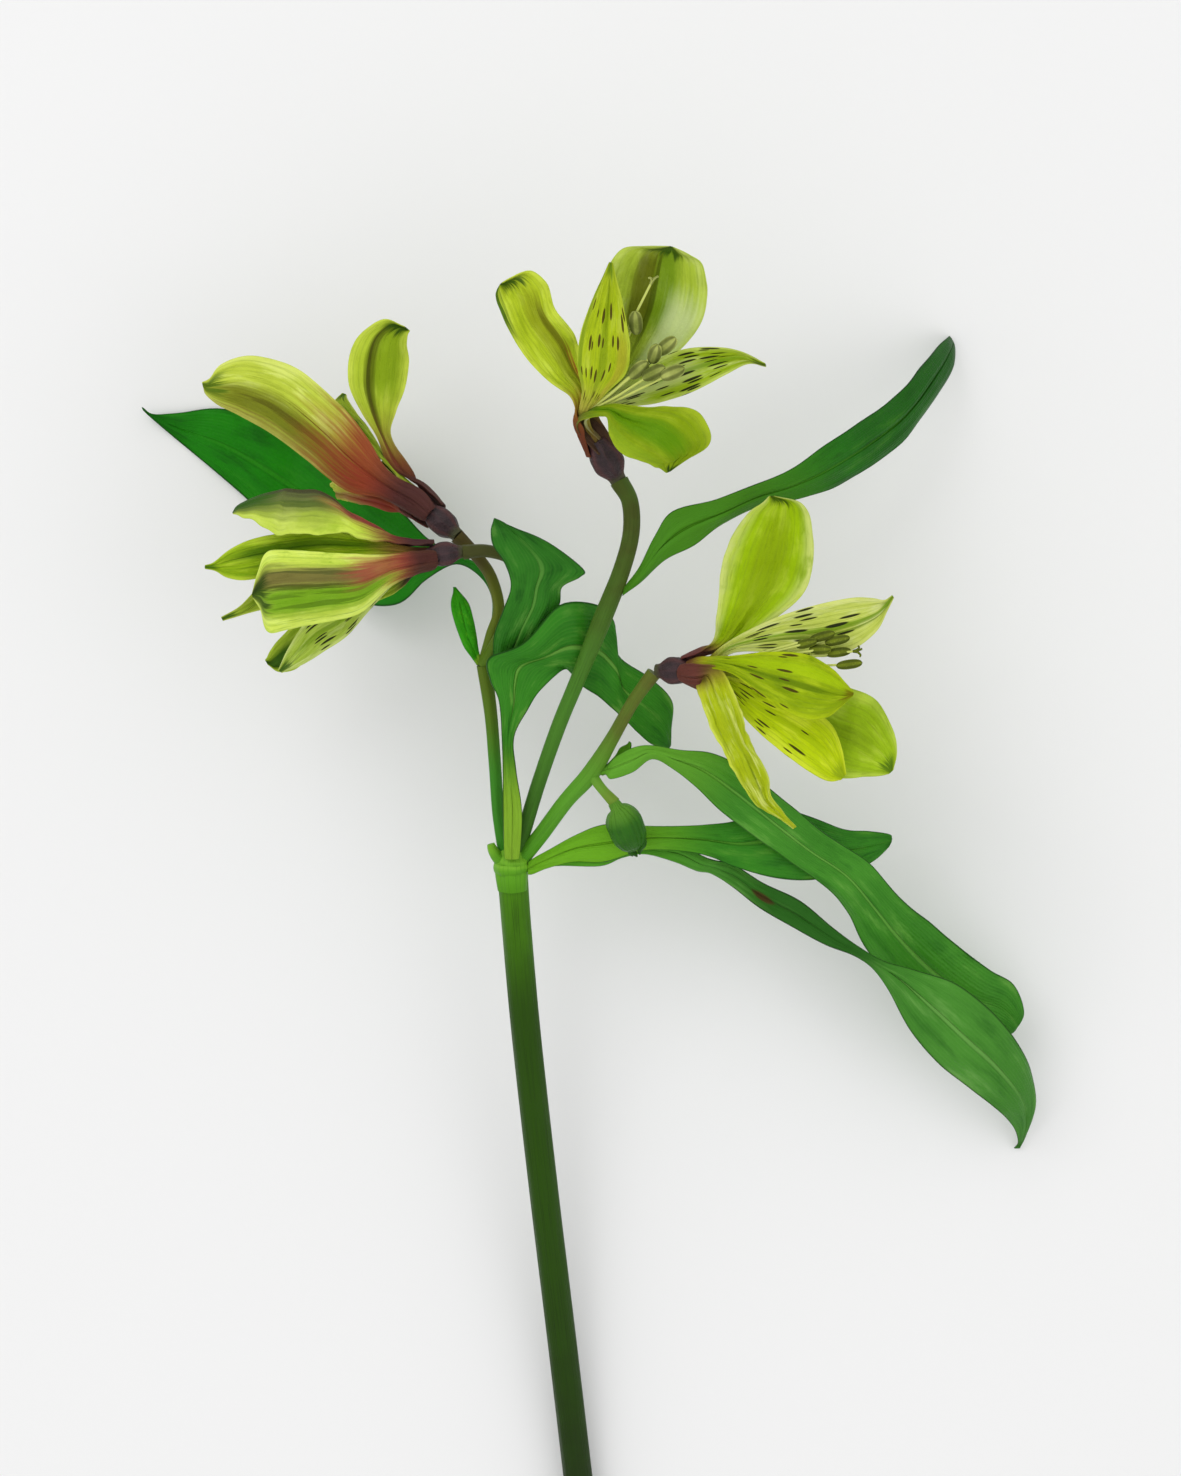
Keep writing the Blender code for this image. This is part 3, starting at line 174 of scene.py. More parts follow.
def smooth_values(values, samples, settle):
    """Run a smooth curve through values. With settle on, it never overshoots them."""
    last = len(values) - 1
    slopes = []
    for i in range(last + 1):
        before = values[i] - values[i - 1] if i > 0 else values[1] - values[0]
        after = values[i + 1] - values[i] if i < last else values[last] - values[last - 1]
        slope = (before + after) / 2
        if settle and before * after <= 0:
            slope = 0.0
        elif settle:
            limit = STEEPEST * min(abs(before), abs(after))
            slope = max(-limit, min(limit, slope))
        slopes.append(slope)
    out = []
    for k in range(samples + 1):
        place = k / samples * last
        i = min(int(place), last - 1)
        t = place - i
        h00 = 2 * t ** 3 - 3 * t ** 2 + 1
        h10 = t ** 3 - 2 * t ** 2 + t
        h01 = -2 * t ** 3 + 3 * t ** 2
        h11 = t ** 3 - t ** 2
        out.append(h00 * values[i] + h10 * slopes[i] + h01 * values[i + 1] + h11 * slopes[i + 1])
    return out


def smooth_points(points, samples):
    """Run a smooth line through points. Its height never dips below theirs."""
    xs = smooth_values([p[0] for p in points], samples, False)
    ys = smooth_values([p[1] for p in points], samples, False)
    zs = smooth_values([p[2] for p in points], samples, True)
    return np.array(list(zip(xs, ys, zs)))


def unit(rows):
    """Scale each row of an array to length one."""
    return rows / np.maximum(np.linalg.norm(rows, axis=-1, keepdims=True), 1e-9)


# %% [markdown]
# ## From points to a mesh with coordinates on it
#
# The surface patterns of a plant run along it: veins, flecks and coloured bands all follow the
# blade from its foot to its tip. So each mesh carries two UV maps. `share` holds the part of the
# way along and across, from 0 to 1, and `length` the same places in centimetres. A point
# attribute says which face of a thin blade looks away from the flower's axis.

# %% Build a mesh from a grid of points
SHARP_FROM = 50  # degrees between two faces


def finish_mesh(name, points, faces, share, length, finish, outside=None):
    """Make a piece of the flower, with its two UV maps, ride on the body."""
    mesh = bpy.data.meshes.new(name)
    places = (np.asarray(points) + np.array(UMBEL_NODE)) * MM
    mesh.from_pydata(places.tolist(), [], faces)
    corners = np.empty(len(mesh.loops), dtype=np.int32)
    mesh.loops.foreach_get("vertex_index", corners)
    for map_name, values in (("share", share), ("length", length)):
        layer = mesh.uv_layers.new(name=map_name)
        layer.data.foreach_set("uv", np.asarray(values, dtype=np.float32)[corners].ravel())
    if outside is not None:
        face_side = mesh.attributes.new("outside", "FLOAT", "POINT")
        face_side.data.foreach_set("value", np.asarray(outside, dtype=np.float32))
    mesh.shade_smooth()
    mesh.set_sharp_from_angle(angle=radians(SHARP_FROM))
    mesh.materials.append(finish)
    mesh.validate()
    piece = bpy.data.objects.new(name, mesh)
    bpy.context.scene.collection.objects.link(piece)
    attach(piece, "root")
    return piece


def report(piece, node):
    """Print how far a finer piece departs from the box of its solid."""
    low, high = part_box(node)
    corners = [piece.matrix_world @ Vector(c) for c in piece.bound_box]
    off = max(max(abs(min(c[k] for c in corners) - low[k]), abs(max(c[k] for c in corners) - high[k]))
              for k in range(3))
    print(f"{piece.name}: {len(piece.data.polygons)} faces, box within {off * 1000:.2f} mm of its solid")


# %% [markdown]
# ## Effects that several finishes share
#
# Every blade of this plant shows the same kinds of mark: a band along its middle, a coloured foot,
# a darker tip, a pale margin, fine veins and, on the inner tepals, dark dashes. Each kind of mark
# is made once as a node group that puts out masks. The materials decide which colour goes under
# each mask, so a new petal needs only a few new numbers.


# %% Small helpers for shader nodes
def put(tree, socket, value):
    """Feed a socket from another socket or with a plain value."""
    if isinstance(value, bpy.types.NodeSocket):
        tree.links.new(value, socket)
    else:
        socket.default_value = value


def calc(tree, operation, a, b=0.0, c=0.0, clamp=False):
    """One math node."""
    node = tree.nodes.new("ShaderNodeMath")
    node.operation = operation
    node.use_clamp = clamp
    for socket, value in zip(node.inputs, (a, b, c)):
        put(tree, socket, value)
    return node.outputs[0]


def invert(tree, mask):
    """1 where a mask is 0, and 0 where it is 1."""
    return calc(tree, "SUBTRACT", 1.0, mask)


def ramp(tree, value, start, end):
    """Rise smoothly from 0 to 1 while the value goes from start to end."""
    node = tree.nodes.new("ShaderNodeMapRange")
    node.interpolation_type = "SMOOTHSTEP"
    put(tree, node.inputs["Value"], value)
    put(tree, node.inputs["From Min"], start)
    put(tree, node.inputs["From Max"], end)
    return node.outputs["Result"]


def noise(tree, vector, scale, detail=3.0, rough=0.5):
    """Smooth random values round 0.5."""
    node = tree.nodes.new("ShaderNodeTexNoise")
    put(tree, node.inputs["Vector"], vector)
    put(tree, node.inputs["Scale"], scale)
    node.inputs["Detail"].default_value = detail
    node.inputs["Roughness"].default_value = rough
    return node.outputs["Fac"]


def pack(tree, x, y, z=0.0):
    """Three numbers as one vector."""
    node = tree.nodes.new("ShaderNodeCombineXYZ")
    for socket, value in zip(node.inputs, (x, y, z)):
        put(tree, socket, value)
    return node.outputs[0]


def combed(tree, along, across, lumps, lanes, detail=3.0, rough=0.5, shift=0.0):
    """Noise drawn out along a blade: lumps in its length, and lanes side by side."""
    place = pack(tree, calc(tree, "MULTIPLY_ADD", along, lumps, shift), calc(tree, "MULTIPLY", across, lanes))
    return noise(tree, place, 1.0, detail, rough)


def new_effect(name, inputs, outputs):
    """An empty node group with named numbers in and out."""
    tree = bpy.data.node_groups.new(name, "ShaderNodeTree")
    for label, default in inputs.items():
        socket = tree.interface.new_socket(name=label, in_out="INPUT", socket_type="NodeSocketFloat")
        socket.default_value = default
    for label in outputs:
        tree.interface.new_socket(name=label, in_out="OUTPUT", socket_type="NodeSocketFloat")
    start = tree.nodes.new("NodeGroupInput")
    end = tree.nodes.new("NodeGroupOutput")
    return tree, start.outputs, end.inputs


# %% [markdown]
# ### Bands on a blade
#
# A real petal's colours change along its veins, so the borders between them are combed into
# streaks. Noise that is stretched along the blade is added to the place before each threshold.
# That turns a straight border into a feathered one at no extra cost.

# %% The group that gives bands along and across a blade
bands, given, result = new_effect(
    "blade bands",
    {"Along": 0.0, "Across": 0.5, "Rib Place": 0.5, "Rib Width": 0.3, "Rib From": 0.0, "Rib To": 1.0,
     "Base Reach": 0.2, "Tip Reach": 0.1, "Margin Width": 0.1, "Streak": 0.12},
    ["Rib", "Base", "Tip", "Margin"])
edge = calc(bands, "ABSOLUTE", calc(bands, "MULTIPLY_ADD", given["Across"], 2.0, -1.0))
feather = combed(bands, given["Along"], given["Across"], lumps=2.5, lanes=22.0)
streak = calc(bands, "MULTIPLY", calc(bands, "SUBTRACT", feather, 0.5), given["Streak"])
place = calc(bands, "ADD", given["Along"], streak)

from_rib = calc(bands, "ABSOLUTE", calc(bands, "SUBTRACT", given["Across"], given["Rib Place"]))
rib_edge = calc(bands, "MULTIPLY_ADD", from_rib, 2.0, calc(bands, "MULTIPLY", streak, 1.5))
rib_core = calc(bands, "MULTIPLY", given["Rib Width"], 0.3)
inside = invert(bands, ramp(bands, rib_edge, rib_core, given["Rib Width"]))
begun = ramp(bands, place, calc(bands, "SUBTRACT", given["Rib From"], 0.08),
             calc(bands, "ADD", given["Rib From"], 0.08))
ended = ramp(bands, place, calc(bands, "SUBTRACT", given["Rib To"], 0.12),
             calc(bands, "ADD", given["Rib To"], 0.06))
running = calc(bands, "MULTIPLY", begun, invert(bands, ended))
put(bands, result["Rib"], calc(bands, "MULTIPLY", inside, running))

base_core = calc(bands, "MULTIPLY", given["Base Reach"], 0.45)
put(bands, result["Base"], invert(bands, ramp(bands, place, base_core, given["Base Reach"])))
tip_start = invert(bands, given["Tip Reach"])
tip_full = invert(bands, calc(bands, "MULTIPLY", given["Tip Reach"], 0.4))
tip_middle = invert(bands, ramp(bands, edge, 0.3, 0.85))
put(bands, result["Tip"], calc(bands, "MULTIPLY", ramp(bands, place, tip_start, tip_full), tip_middle))
put(bands, result["Margin"], ramp(bands, edge, invert(bands, given["Margin Width"]), 1.0))
print("effect:", bands.name, "puts out", [s.name for s in result if s.name])

# %% [markdown]
# ### Veins
#
# Alstroemeria veins run side by side from foot to tip. A sine across the blade gives evenly spaced
# lines, and a little stretched noise bends them and makes some fainter than others. The same
# values serve as colour and as relief.

# %% The group that draws parallel veins
veins, given, result = new_effect(
    "parallel veins", {"Along": 0.0, "Across": 0.5, "Count": 12.0, "Sharpness": 3.0}, ["Lines", "Relief"])
bend = combed(veins, given["Along"], given["Across"], lumps=3.0, lanes=5.0, detail=2.0)
shifted = calc(veins, "ADD", given["Across"], calc(veins, "MULTIPLY", bend, 0.05))
turns = calc(veins, "MULTIPLY", calc(veins, "MULTIPLY", shifted, given["Count"]), 2 * pi)
wave = calc(veins, "MULTIPLY_ADD", calc(veins, "SINE", turns), 0.5, 0.5)
lines = calc(veins, "POWER", wave, given["Sharpness"])
fade = combed(veins, given["Along"], given["Across"], lumps=6.0, lanes=30.0, detail=2.0)
put(veins, result["Lines"], calc(veins, "MULTIPLY", lines, fade))
put(veins, result["Relief"], calc(veins, "MULTIPLY", wave, fade))
print("effect:", veins.name)

# %% [markdown]
# ### Flecks
#
# The inner tepals guide insects with short dark dashes in rows along the veins. Voronoi cells give
# one mark each. Squeezing the space across and stretching it along turns round dots into dashes,
# and the random colour of a cell decides whether its dash is there at all.

# %% The group that sprinkles dashes along the veins
flecks, given, result = new_effect(
    "dashes",
    {"Along": 0.0, "Across": 0.5, "Length": 0.0, "Lanes": 6.0, "Spacing": 0.32, "Amount": 0.7,
     "From": 0.3, "To": 0.85, "Size": 0.28, "Seed": 0.0},
    ["Dashes"])
cells = flecks.nodes.new("ShaderNodeTexVoronoi")
cells.voronoi_dimensions = "2D"
cells.inputs["Randomness"].default_value = 0.75
cells.inputs["Scale"].default_value = 1.0
row = calc(flecks, "ADD", calc(flecks, "DIVIDE", given["Length"], given["Spacing"]), given["Seed"])
lane = calc(flecks, "MULTIPLY", given["Across"], given["Lanes"])
put(flecks, cells.inputs["Vector"], pack(flecks, row, lane))

chance = flecks.nodes.new("ShaderNodeSeparateColor")
put(flecks, chance.inputs[0], cells.outputs["Color"])
kept = calc(flecks, "LESS_THAN", chance.outputs[0], given["Amount"])
spread = calc(flecks, "ADD", calc(flecks, "MULTIPLY", chance.outputs[1], 0.7), 0.6)
reach = calc(flecks, "MULTIPLY", given["Size"], spread)
core = calc(flecks, "MULTIPLY", reach, 0.7)
dash = invert(flecks, ramp(flecks, cells.outputs["Distance"], core, reach))
begun = ramp(flecks, given["Along"], given["From"], calc(flecks, "ADD", given["From"], 0.05))
ended = ramp(flecks, given["Along"], calc(flecks, "SUBTRACT", given["To"], 0.05), given["To"])
zone = calc(flecks, "MULTIPLY", begun, invert(flecks, ended))
put(flecks, result["Dashes"], calc(flecks, "MULTIPLY", calc(flecks, "MULTIPLY", dash, kept), zone))
print("effect:", flecks.name)

# %% [markdown]
# ### Mottling
#
# No plant surface is one colour. Slow noise makes patches a few millimetres wide and fast noise
# adds the grain of the skin. Both go into one group, so that leaf, petal and stem share a skin.

# %% The group that mottles a surface
mottle, given, result = new_effect("mottling", {"Patch": 120.0, "Grain": 1800.0}, ["Patches", "Skin"])
spot = mottle.nodes.new("ShaderNodeTexCoord").outputs["Object"]
put(mottle, result["Patches"], ramp(mottle, noise(mottle, spot, given["Patch"], 3.0), 0.3, 0.7))
put(mottle, result["Skin"], noise(mottle, spot, given["Grain"], 2.0))
print("effect:", mottle.name)

# %% [markdown]
# ## Finishes
#
# A finish takes the masks and lays colours over each other, as a painter would glaze a petal. The
# last mask is the strongest. Relief comes from one Bump node, and the gloss from the Principled
# shader itself, with a roughness that changes over the surface.

# %% Start a finish and lay colours over each other
ROUGHNESS_SPREAD = 0.14
SKIN_RELIEF = 0.35
GLOW_DEPTH = 1.2  # mm that light travels under the skin


class Finish:
    """A material under construction: its masks, the colour so far and its shader."""

    def __init__(self, name, first_colour):
        self.material = bpy.data.materials.new(name)
        self.material.use_nodes = True
        self.tree = self.material.node_tree
        self.surface = self.tree.nodes["Principled BSDF"].inputs
        self.along, self.across = self.uv("share")
        self.length = self.uv("length")[0]
        self.colour = paint(first_colour)

    def uv(self, map_name):
        """The two numbers of a UV map."""
        source = self.tree.nodes.new("ShaderNodeUVMap")
        source.uv_map = map_name
        parts = self.tree.nodes.new("ShaderNodeSeparateXYZ")
        put(self.tree, parts.inputs[0], source.outputs[0])
        return parts.outputs[0], parts.outputs[1]

    def outside(self):
        """1 on the face that looks away from the flower's axis, 0 on the other."""
        node = self.tree.nodes.new("ShaderNodeAttribute")
        node.attribute_name = "outside"
        return node.outputs["Fac"]

    def calc(self, operation, a, b=0.0):
        """One math node of this finish."""
        return calc(self.tree, operation, a, b)

    def ramp(self, value, start, end):
        """A rise from 0 to 1 in this finish."""
        return ramp(self.tree, value, start, end)

    def near(self, value, core, reach):
        """1 up to core, fading to 0 at reach."""
        return invert(self.tree, ramp(self.tree, value, core, reach))

    def combed(self, lumps, lanes, detail=3.0, rough=0.5, shift=0.0):
        """Noise drawn out along this blade."""
        return combed(self.tree, self.along, self.across, lumps, lanes, detail, rough, shift)

    def effect(self, group, **values):
        """Place a node group. It gets the place on the blade by itself; _ in a name is a space."""
        node = self.tree.nodes.new("ShaderNodeGroup")
        node.node_tree = group
        for label, value in (("Along", self.along), ("Across", self.across), ("Length", self.length)):
            if label in node.inputs:
                put(self.tree, node.inputs[label], value)
        for label, value in values.items():
            put(self.tree, node.inputs[label.replace("_", " ")], value)
        return node.outputs

    def glaze(self, code, mask, strength=1.0):
        """Lay one colour over the colour so far, where the mask is."""
        node = self.tree.nodes.new("ShaderNodeMix")
        node.data_type = "RGBA"
        put(self.tree, node.inputs["Factor"], calc(self.tree, "MULTIPLY", mask, strength, clamp=True))
        put(self.tree, node.inputs["A"], self.colour)
        node.inputs["B"].default_value = paint(code)
        self.colour = node.outputs["Result"]

    def close(self, roughness, relief, depth, subsurface=0.0, specular=0.2):
        """Feed the shader: colour, roughness that varies with the skin, and bump, depth in mm."""
        put(self.tree, self.surface["Base Color"], self.colour)
        skin = self.effect(mottle)
        rough = calc(self.tree, "MULTIPLY_ADD", skin["Patches"], ROUGHNESS_SPREAD, roughness)
        put(self.tree, self.surface["Roughness"], rough)
        bump = self.tree.nodes.new("ShaderNodeBump")
        bump.inputs["Distance"].default_value = depth * MM
        bump.inputs["Strength"].default_value = 1.0
        height = self.calc("ADD", relief, self.calc("MULTIPLY", skin["Skin"], SKIN_RELIEF))
        put(self.tree, bump.inputs["Height"], height)
        put(self.tree, self.surface["Normal"], bump.outputs["Normal"])
        self.surface["Specular IOR Level"].default_value = specular
        self.surface["Subsurface Weight"].default_value = subsurface
        self.surface["Subsurface Scale"].default_value = GLOW_DEPTH * MM
        self.surface["Subsurface Radius"].default_value = (1.0, 1.0, 0.4)
        return self.material


# %% [markdown]
# ### Leaf, stem and petal finishes
# A leaf is satin green with a paler midrib and a thin dark edge, with painted highlights and
# painted shade in streaks along its fold lines. The stem fades from a bright young green at the
# node to dark olive below. A petal carries all the marks at once, each with its own colour, and the
# same painted highlights and shade, so its finish reads them from a small dictionary. What a
# petal's dictionary doesn't say comes from the common one here.

# %% Leaf finish
TWIST_SHADE_GREEN = "1a5210"
BLEMISH_BROWN = "4a3018"
BLEMISH_STRETCH = (42.0, 5.0)  # the spot is narrow along the blade and wide across it


def leaf_finish(name, green, deep, rib, edge, under, base="8fb82e", base_reach=0.1, far_from=0.9,
                twist=None, blemish=None):
    """A satin leaf: mottled green, pale midrib, thin dark edge and a lighter underside.

    twist is where the painted shade on the twisted neck starts and ends; blemish is the place of a brown
    spot.
    """
    look = Finish(name, green)
    skin = look.effect(mottle, Patch=75.0)
    band = look.effect(bands, Rib_Width=0.09, Rib_From=-0.2, Rib_To=0.9, Base_Reach=base_reach,
                       Tip_Reach=0.05, Margin_Width=0.07, Streak=0.05)
    line = look.effect(veins, Count=21.0, Sharpness=3.0)
    fold_relief_and_painted_light = look.combed(lumps=7.0, lanes=3.5, detail=4.0, rough=0.6)
    look.glaze(deep, skin["Patches"], 0.5)
    # The fold noise paints shade in the deep colour on its high streaks and painted highlights in the midrib
    # colour on its low ones; it is also relief below.
    look.glaze(deep, look.ramp(fold_relief_and_painted_light, 0.5, 0.7), 0.9)
    look.glaze(rib, look.ramp(fold_relief_and_painted_light, 0.48, 0.25), 0.55)
    look.glaze(rib, line["Lines"], 0.1)
    look.glaze(rib, band["Rib"], 0.45)
    look.glaze(base, band["Base"], 0.75)
    look.glaze(deep, look.ramp(look.along, far_from, 1.1), 0.9)
    # Painted shade: a darker green on the neck where the leaf turns over.
    if twist:
        start, end = twist
        twisted = look.calc("SUBTRACT", look.ramp(look.along, start, start + 0.08),
                            look.ramp(look.along, end - 0.03, end + 0.03))
        look.glaze(TWIST_SHADE_GREEN, twisted, 0.75)
    look.glaze(under, invert(look.tree, look.outside()), 0.55)
    look.glaze(edge, band["Margin"], 0.9)
    if blemish:
        squares = []
        for place, centre, stretch in zip((look.along, look.across), blemish, BLEMISH_STRETCH):
            off = look.calc("MULTIPLY", look.calc("SUBTRACT", place, centre), stretch)
            squares.append(look.calc("MULTIPLY", off, off))
        look.glaze(BLEMISH_BROWN, look.near(look.calc("ADD", *squares), 0.3, 1.0), 0.9)
    relief = look.calc("ADD", look.calc("MULTIPLY", line["Relief"], 0.3),
                       look.calc("MULTIPLY", band["Rib"], -1.0))
    relief = look.calc("ADD", relief, look.calc("MULTIPLY", fold_relief_and_painted_light, 1.5))
    return look.close(roughness=0.36, relief=relief, depth=0.3, specular=0.11)


# %% Stem finish
def stem_finish(name, top, middle, foot, line_colour, middle_at=0.42):
    """A waxy round stem whose colour changes along it, with fine lengthwise lines."""
    look = Finish(name, top)
    look.glaze(middle, look.ramp(look.along, 0.03, middle_at))
    look.glaze(foot, look.ramp(look.along, 0.4, 0.85))
    skin = look.effect(mottle, Patch=160.0)
    fibre = combed(look.tree, look.length, look.across, lumps=0.6, lanes=46.0)
    look.glaze(line_colour, look.ramp(fibre, 0.5, 0.72), 0.5)
    look.glaze(middle, skin["Patches"], 0.25)
    return look.close(roughness=0.36, relief=fibre, depth=0.12, specular=0.12)


# %% Petal finish
# light is the colour of the painted highlights on the fold lines; shade tints the mottled patches and is also
# the painted shade between them.
PETAL_LOOKS = dict(
    lime="b4c92c", shade="98ae20", margin="d2de62", margin_width=0.35, vein="7d9420", streak=0.16,
    rib="7a8a1c", rib_place=0.5, rib_width=0.4, rib_from=0.1, rib_to=0.9, rib_strength=0.85, bands=(),
    base="6a4430", base_reach=0.2, base_strength=0.95, foot="4a2a30", foot_reach=0.1, foot_strength=0.8,
    tip="2f5a12", tip_reach=0.08, tip_strength=0.9,
    flecks=0.0, fleck_from=0.25, fleck_to=0.85, fleck_size=0.28, fleck_colour="3a2a1c",
    lanes=15.0, spacing=0.5)


def petal_finish(name, own_looks, seed):
    """A thin petal: veins, pale margin, middle band, coloured foot, dark tip, dashes, and painted highlights
    and painted shade in streaks along the fold lines.

    Each of the further bands has its colour, place across, width, start, end and strength.
    """
    of = {**PETAL_LOOKS, **own_looks}
    look = Finish(name, of["lime"])
    skin = look.effect(mottle, Patch=90.0)
    band = look.effect(
        bands, Rib_Place=of["rib_place"], Rib_Width=of["rib_width"], Rib_From=of["rib_from"],
        Rib_To=of["rib_to"], Base_Reach=of["base_reach"], Tip_Reach=of["tip_reach"],
        Margin_Width=of["margin_width"], Streak=of["streak"])
    line = look.effect(veins, Count=11.0, Sharpness=6.0)
    dash = look.effect(
        flecks, Lanes=of["lanes"], Spacing=of["spacing"], Amount=of["flecks"], From=of["fleck_from"],
        To=of["fleck_to"], Size=of["fleck_size"], Seed=seed)
    fold_relief_and_painted_light = look.combed(lumps=5.0, lanes=5.0, detail=4.0, rough=0.6, shift=seed)
    fine = look.combed(lumps=6.0, lanes=38.0, detail=3.0, rough=0.6, shift=seed)
    look.glaze(of["shade"], skin["Patches"], 0.35)
    look.glaze(of["margin"], band["Margin"], 0.8)
    # Painted highlights on the low streaks of the fold noise, and painted shade on its high streaks.
    look.glaze(of.get("light", of["margin"]), look.ramp(fold_relief_and_painted_light, 0.52, 0.34), 0.7)
    look.glaze(of["shade"], look.ramp(fold_relief_and_painted_light, 0.53, 0.72), 0.8)
    look.glaze(of["vein"], look.ramp(fine, 0.52, 0.75), 0.5)
    look.glaze(of["vein"], line["Lines"], 0.5)
    look.glaze(of["rib"], band["Rib"], of["rib_strength"])
    for code, place, width, start, end, strength in of["bands"]:
        more = look.effect(bands, Rib_Place=place, Rib_Width=width, Rib_From=start, Rib_To=end,
                           Streak=of["streak"])
        look.glaze(code, more["Rib"], strength)
    look.glaze(of["base"], band["Base"], of["base_strength"])
    foot = look.near(look.along, of["foot_reach"] * 0.4, of["foot_reach"])
    look.glaze(of["foot"], foot, of["foot_strength"])
    look.glaze(of["tip"], band["Tip"], of["tip_strength"])
    look.glaze(of["fleck_colour"], dash["Dashes"], 0.95)
    relief = look.calc("ADD", look.calc("MULTIPLY", fold_relief_and_painted_light, 2.0), look.calc("MULTIPLY", fine, 0.8))
    return look.close(roughness=0.46, relief=relief, depth=0.3, subsurface=0.1, specular=0.08)


# %% [markdown]
# ## Blades
#
# Leaves and tepals are the same thing to the modeller: a strip between a left and a right edge
# that bulges in the middle. The finer blade follows the solid's own curves with many more rows,
# then gets what a living one has: a grooved midrib, faint pleats along the veins, margins that
# ripple and an edge thinner than the middle. Both faces are made, so it looks right from below.

# %% Make one blade
HEEL_PINCH = 0.12  # share of the width by which each edge of the hidden heel draws in
FADE_IN, FADE_OUT = 0.12, 0.06  # shares of the length over which ripples grow and die away
RIPPLES_FULL_FROM = 8.0  # mm of width
GROOVE_WIDTH = 0.12
TIP_THINS_OVER = 0.05
TIP_THICKNESS = 0.55


def blade(name, node, stations, outward, finish, middle_thickness=0.5, edge_thickness=0.22,
          rows_each=7, columns=20, ripple=0.35, waves=5.0, groove=0.2, pleats=9, pleat_depth=0.05,
          phase=0.0, rooted=1.2, crumple=0.25):
    """A thin closed blade through its stations, with veins, ripples and UV maps along it."""
    (left, right, bulge), (next_left, next_right, _) = stations[:2]
    step_back = ((next_left + next_right) - (left + right)).normalized() * rooted
    heel = (left.lerp(right, HEEL_PINCH) - step_back, right.lerp(left, HEEL_PINCH) - step_back, bulge)
    stations = [heel, *stations]
    rows = rows_each * (len(stations) - 1)
    left = smooth_points([s[0] for s in stations], rows)
    right = smooth_points([s[1] for s in stations], rows)
    bulge = np.array(smooth_values([s[2] for s in stations], rows, True))
    middle = (left + right) / 2
    normals = unit(np.cross(np.gradient(middle, axis=0), right - left))
    for _ in range(4):
        normals[1:-1] = unit(normals[:-2] + 2 * normals[1:-1] + normals[2:])
    turn = 1.0 if sum(n.dot(outward(m)) for n, m in zip(normals, middle)) > 0 else -1.0

    along = np.concatenate([[0.0], np.cumsum(np.linalg.norm(np.diff(middle, axis=0), axis=1))])
    total = along[-1]
    u = (along / total)[:, None]
    v = np.linspace(0.0, 1.0, columns + 1)[None, :]
    side, edge = np.sign(2 * v - 1), np.abs(2 * v - 1)
    width = np.linalg.norm(right - left, axis=1)[:, None]
    fade = np.clip(u / FADE_IN, 0, 1) * np.clip((1 - u) / FADE_OUT, 0, 1)
    broad = np.clip(width / RIPPLES_FULL_FROM, 0, 1)
    wave = np.sin(2 * pi * waves * u + 1.9 * side + phase)
    wave = wave + 0.5 * np.sin(2 * pi * waves * 2.3 * u + phase * 2 - side)
    swell = np.sin(2 * pi * (2.1 * u + 0.7 * v) + phase) * np.sin(2 * pi * (1.4 * u - 1.3 * v) + 2 * phase)
    swell = swell + 0.4 * np.sin(2 * pi * (5.3 * u + 2.2 * v) - phase) * np.sin(2 * pi * (3.7 * u - 2.9 * v))
    lift = turn * bulge[:, None] * (1 - (2 * v - 1) ** 2)
    lift = lift + fade * broad * ripple * edge ** 3 * wave * 0.6
    lift = lift - turn * fade * groove * np.exp(-((2 * v - 1) / GROOVE_WIDTH) ** 2)
    lift = lift + turn * fade * broad * pleat_depth * np.cos(2 * pi * pleats * v)
    lift = lift + fade * broad * crumple * swell
    across = (right - left)[:, None, :] * v[:, :, None]
    grid = left[:, None, :] + across + normals[:, None, :] * lift[:, :, None]

    face_normals = unit(np.cross(np.gradient(grid, axis=0), np.gradient(grid, axis=1)))
    half = (edge_thickness + (middle_thickness - edge_thickness) * (1 - edge ** 4)) / 2
    half = half * (TIP_THICKNESS + (1 - TIP_THICKNESS) * np.clip((1 - u) / TIP_THINS_OVER, 0, 1))
    upper = (grid + face_normals * half[:, :, None]).reshape(-1, 3)
    lower = (grid - face_normals * half[:, :, None]).reshape(-1, 3)
    count = (rows + 1) * (columns + 1)
    index = np.arange(count).reshape(rows + 1, columns + 1)
    a, b = index[:-1, :-1].ravel(), index[:-1, 1:].ravel()
    c, d = index[1:, 1:].ravel(), index[1:, :-1].ravel()
    faces = np.stack([a, d, c, b], axis=1).tolist()
    faces += (np.stack([a, b, c, d], axis=1) + count).tolist()
    rim = [*index[0, :], *index[1:, -1], *index[-1, -2::-1], *index[-2:0:-1, 0]]
    faces += [(p, q, q + count, p + count) for p, q in zip(rim, rim[1:] + rim[:1])]
    share = np.stack(np.broadcast_arrays(u, v), axis=-1).reshape(-1, 2)
    length = np.stack(np.broadcast_arrays(u * total / 10, (v - 0.5) * width / 10), axis=-1).reshape(-1, 2)
    upper_side = 1.0 if turn > 0 else 0.0
    outside = np.concatenate([np.full(count, upper_side), np.full(count, 1.0 - upper_side)])
    piece = finish_mesh(name, np.concatenate([upper, lower]), [tuple(int(i) for i in f) for f in faces],
                        np.concatenate([share, share]), np.concatenate([length, length]), finish, outside)
    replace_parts(piece, node)
    report(piece, node)
    return piece


# %% [markdown]
# ## Round parts
#
# Stems, rays, filaments and the bud are tubes whose radius changes along them. The tube maker takes
# a function for the cross-section, so the same few lines give a smooth stem, a ribbed bud and an
# anther with a groove. Its ring is carried along the line without twisting.


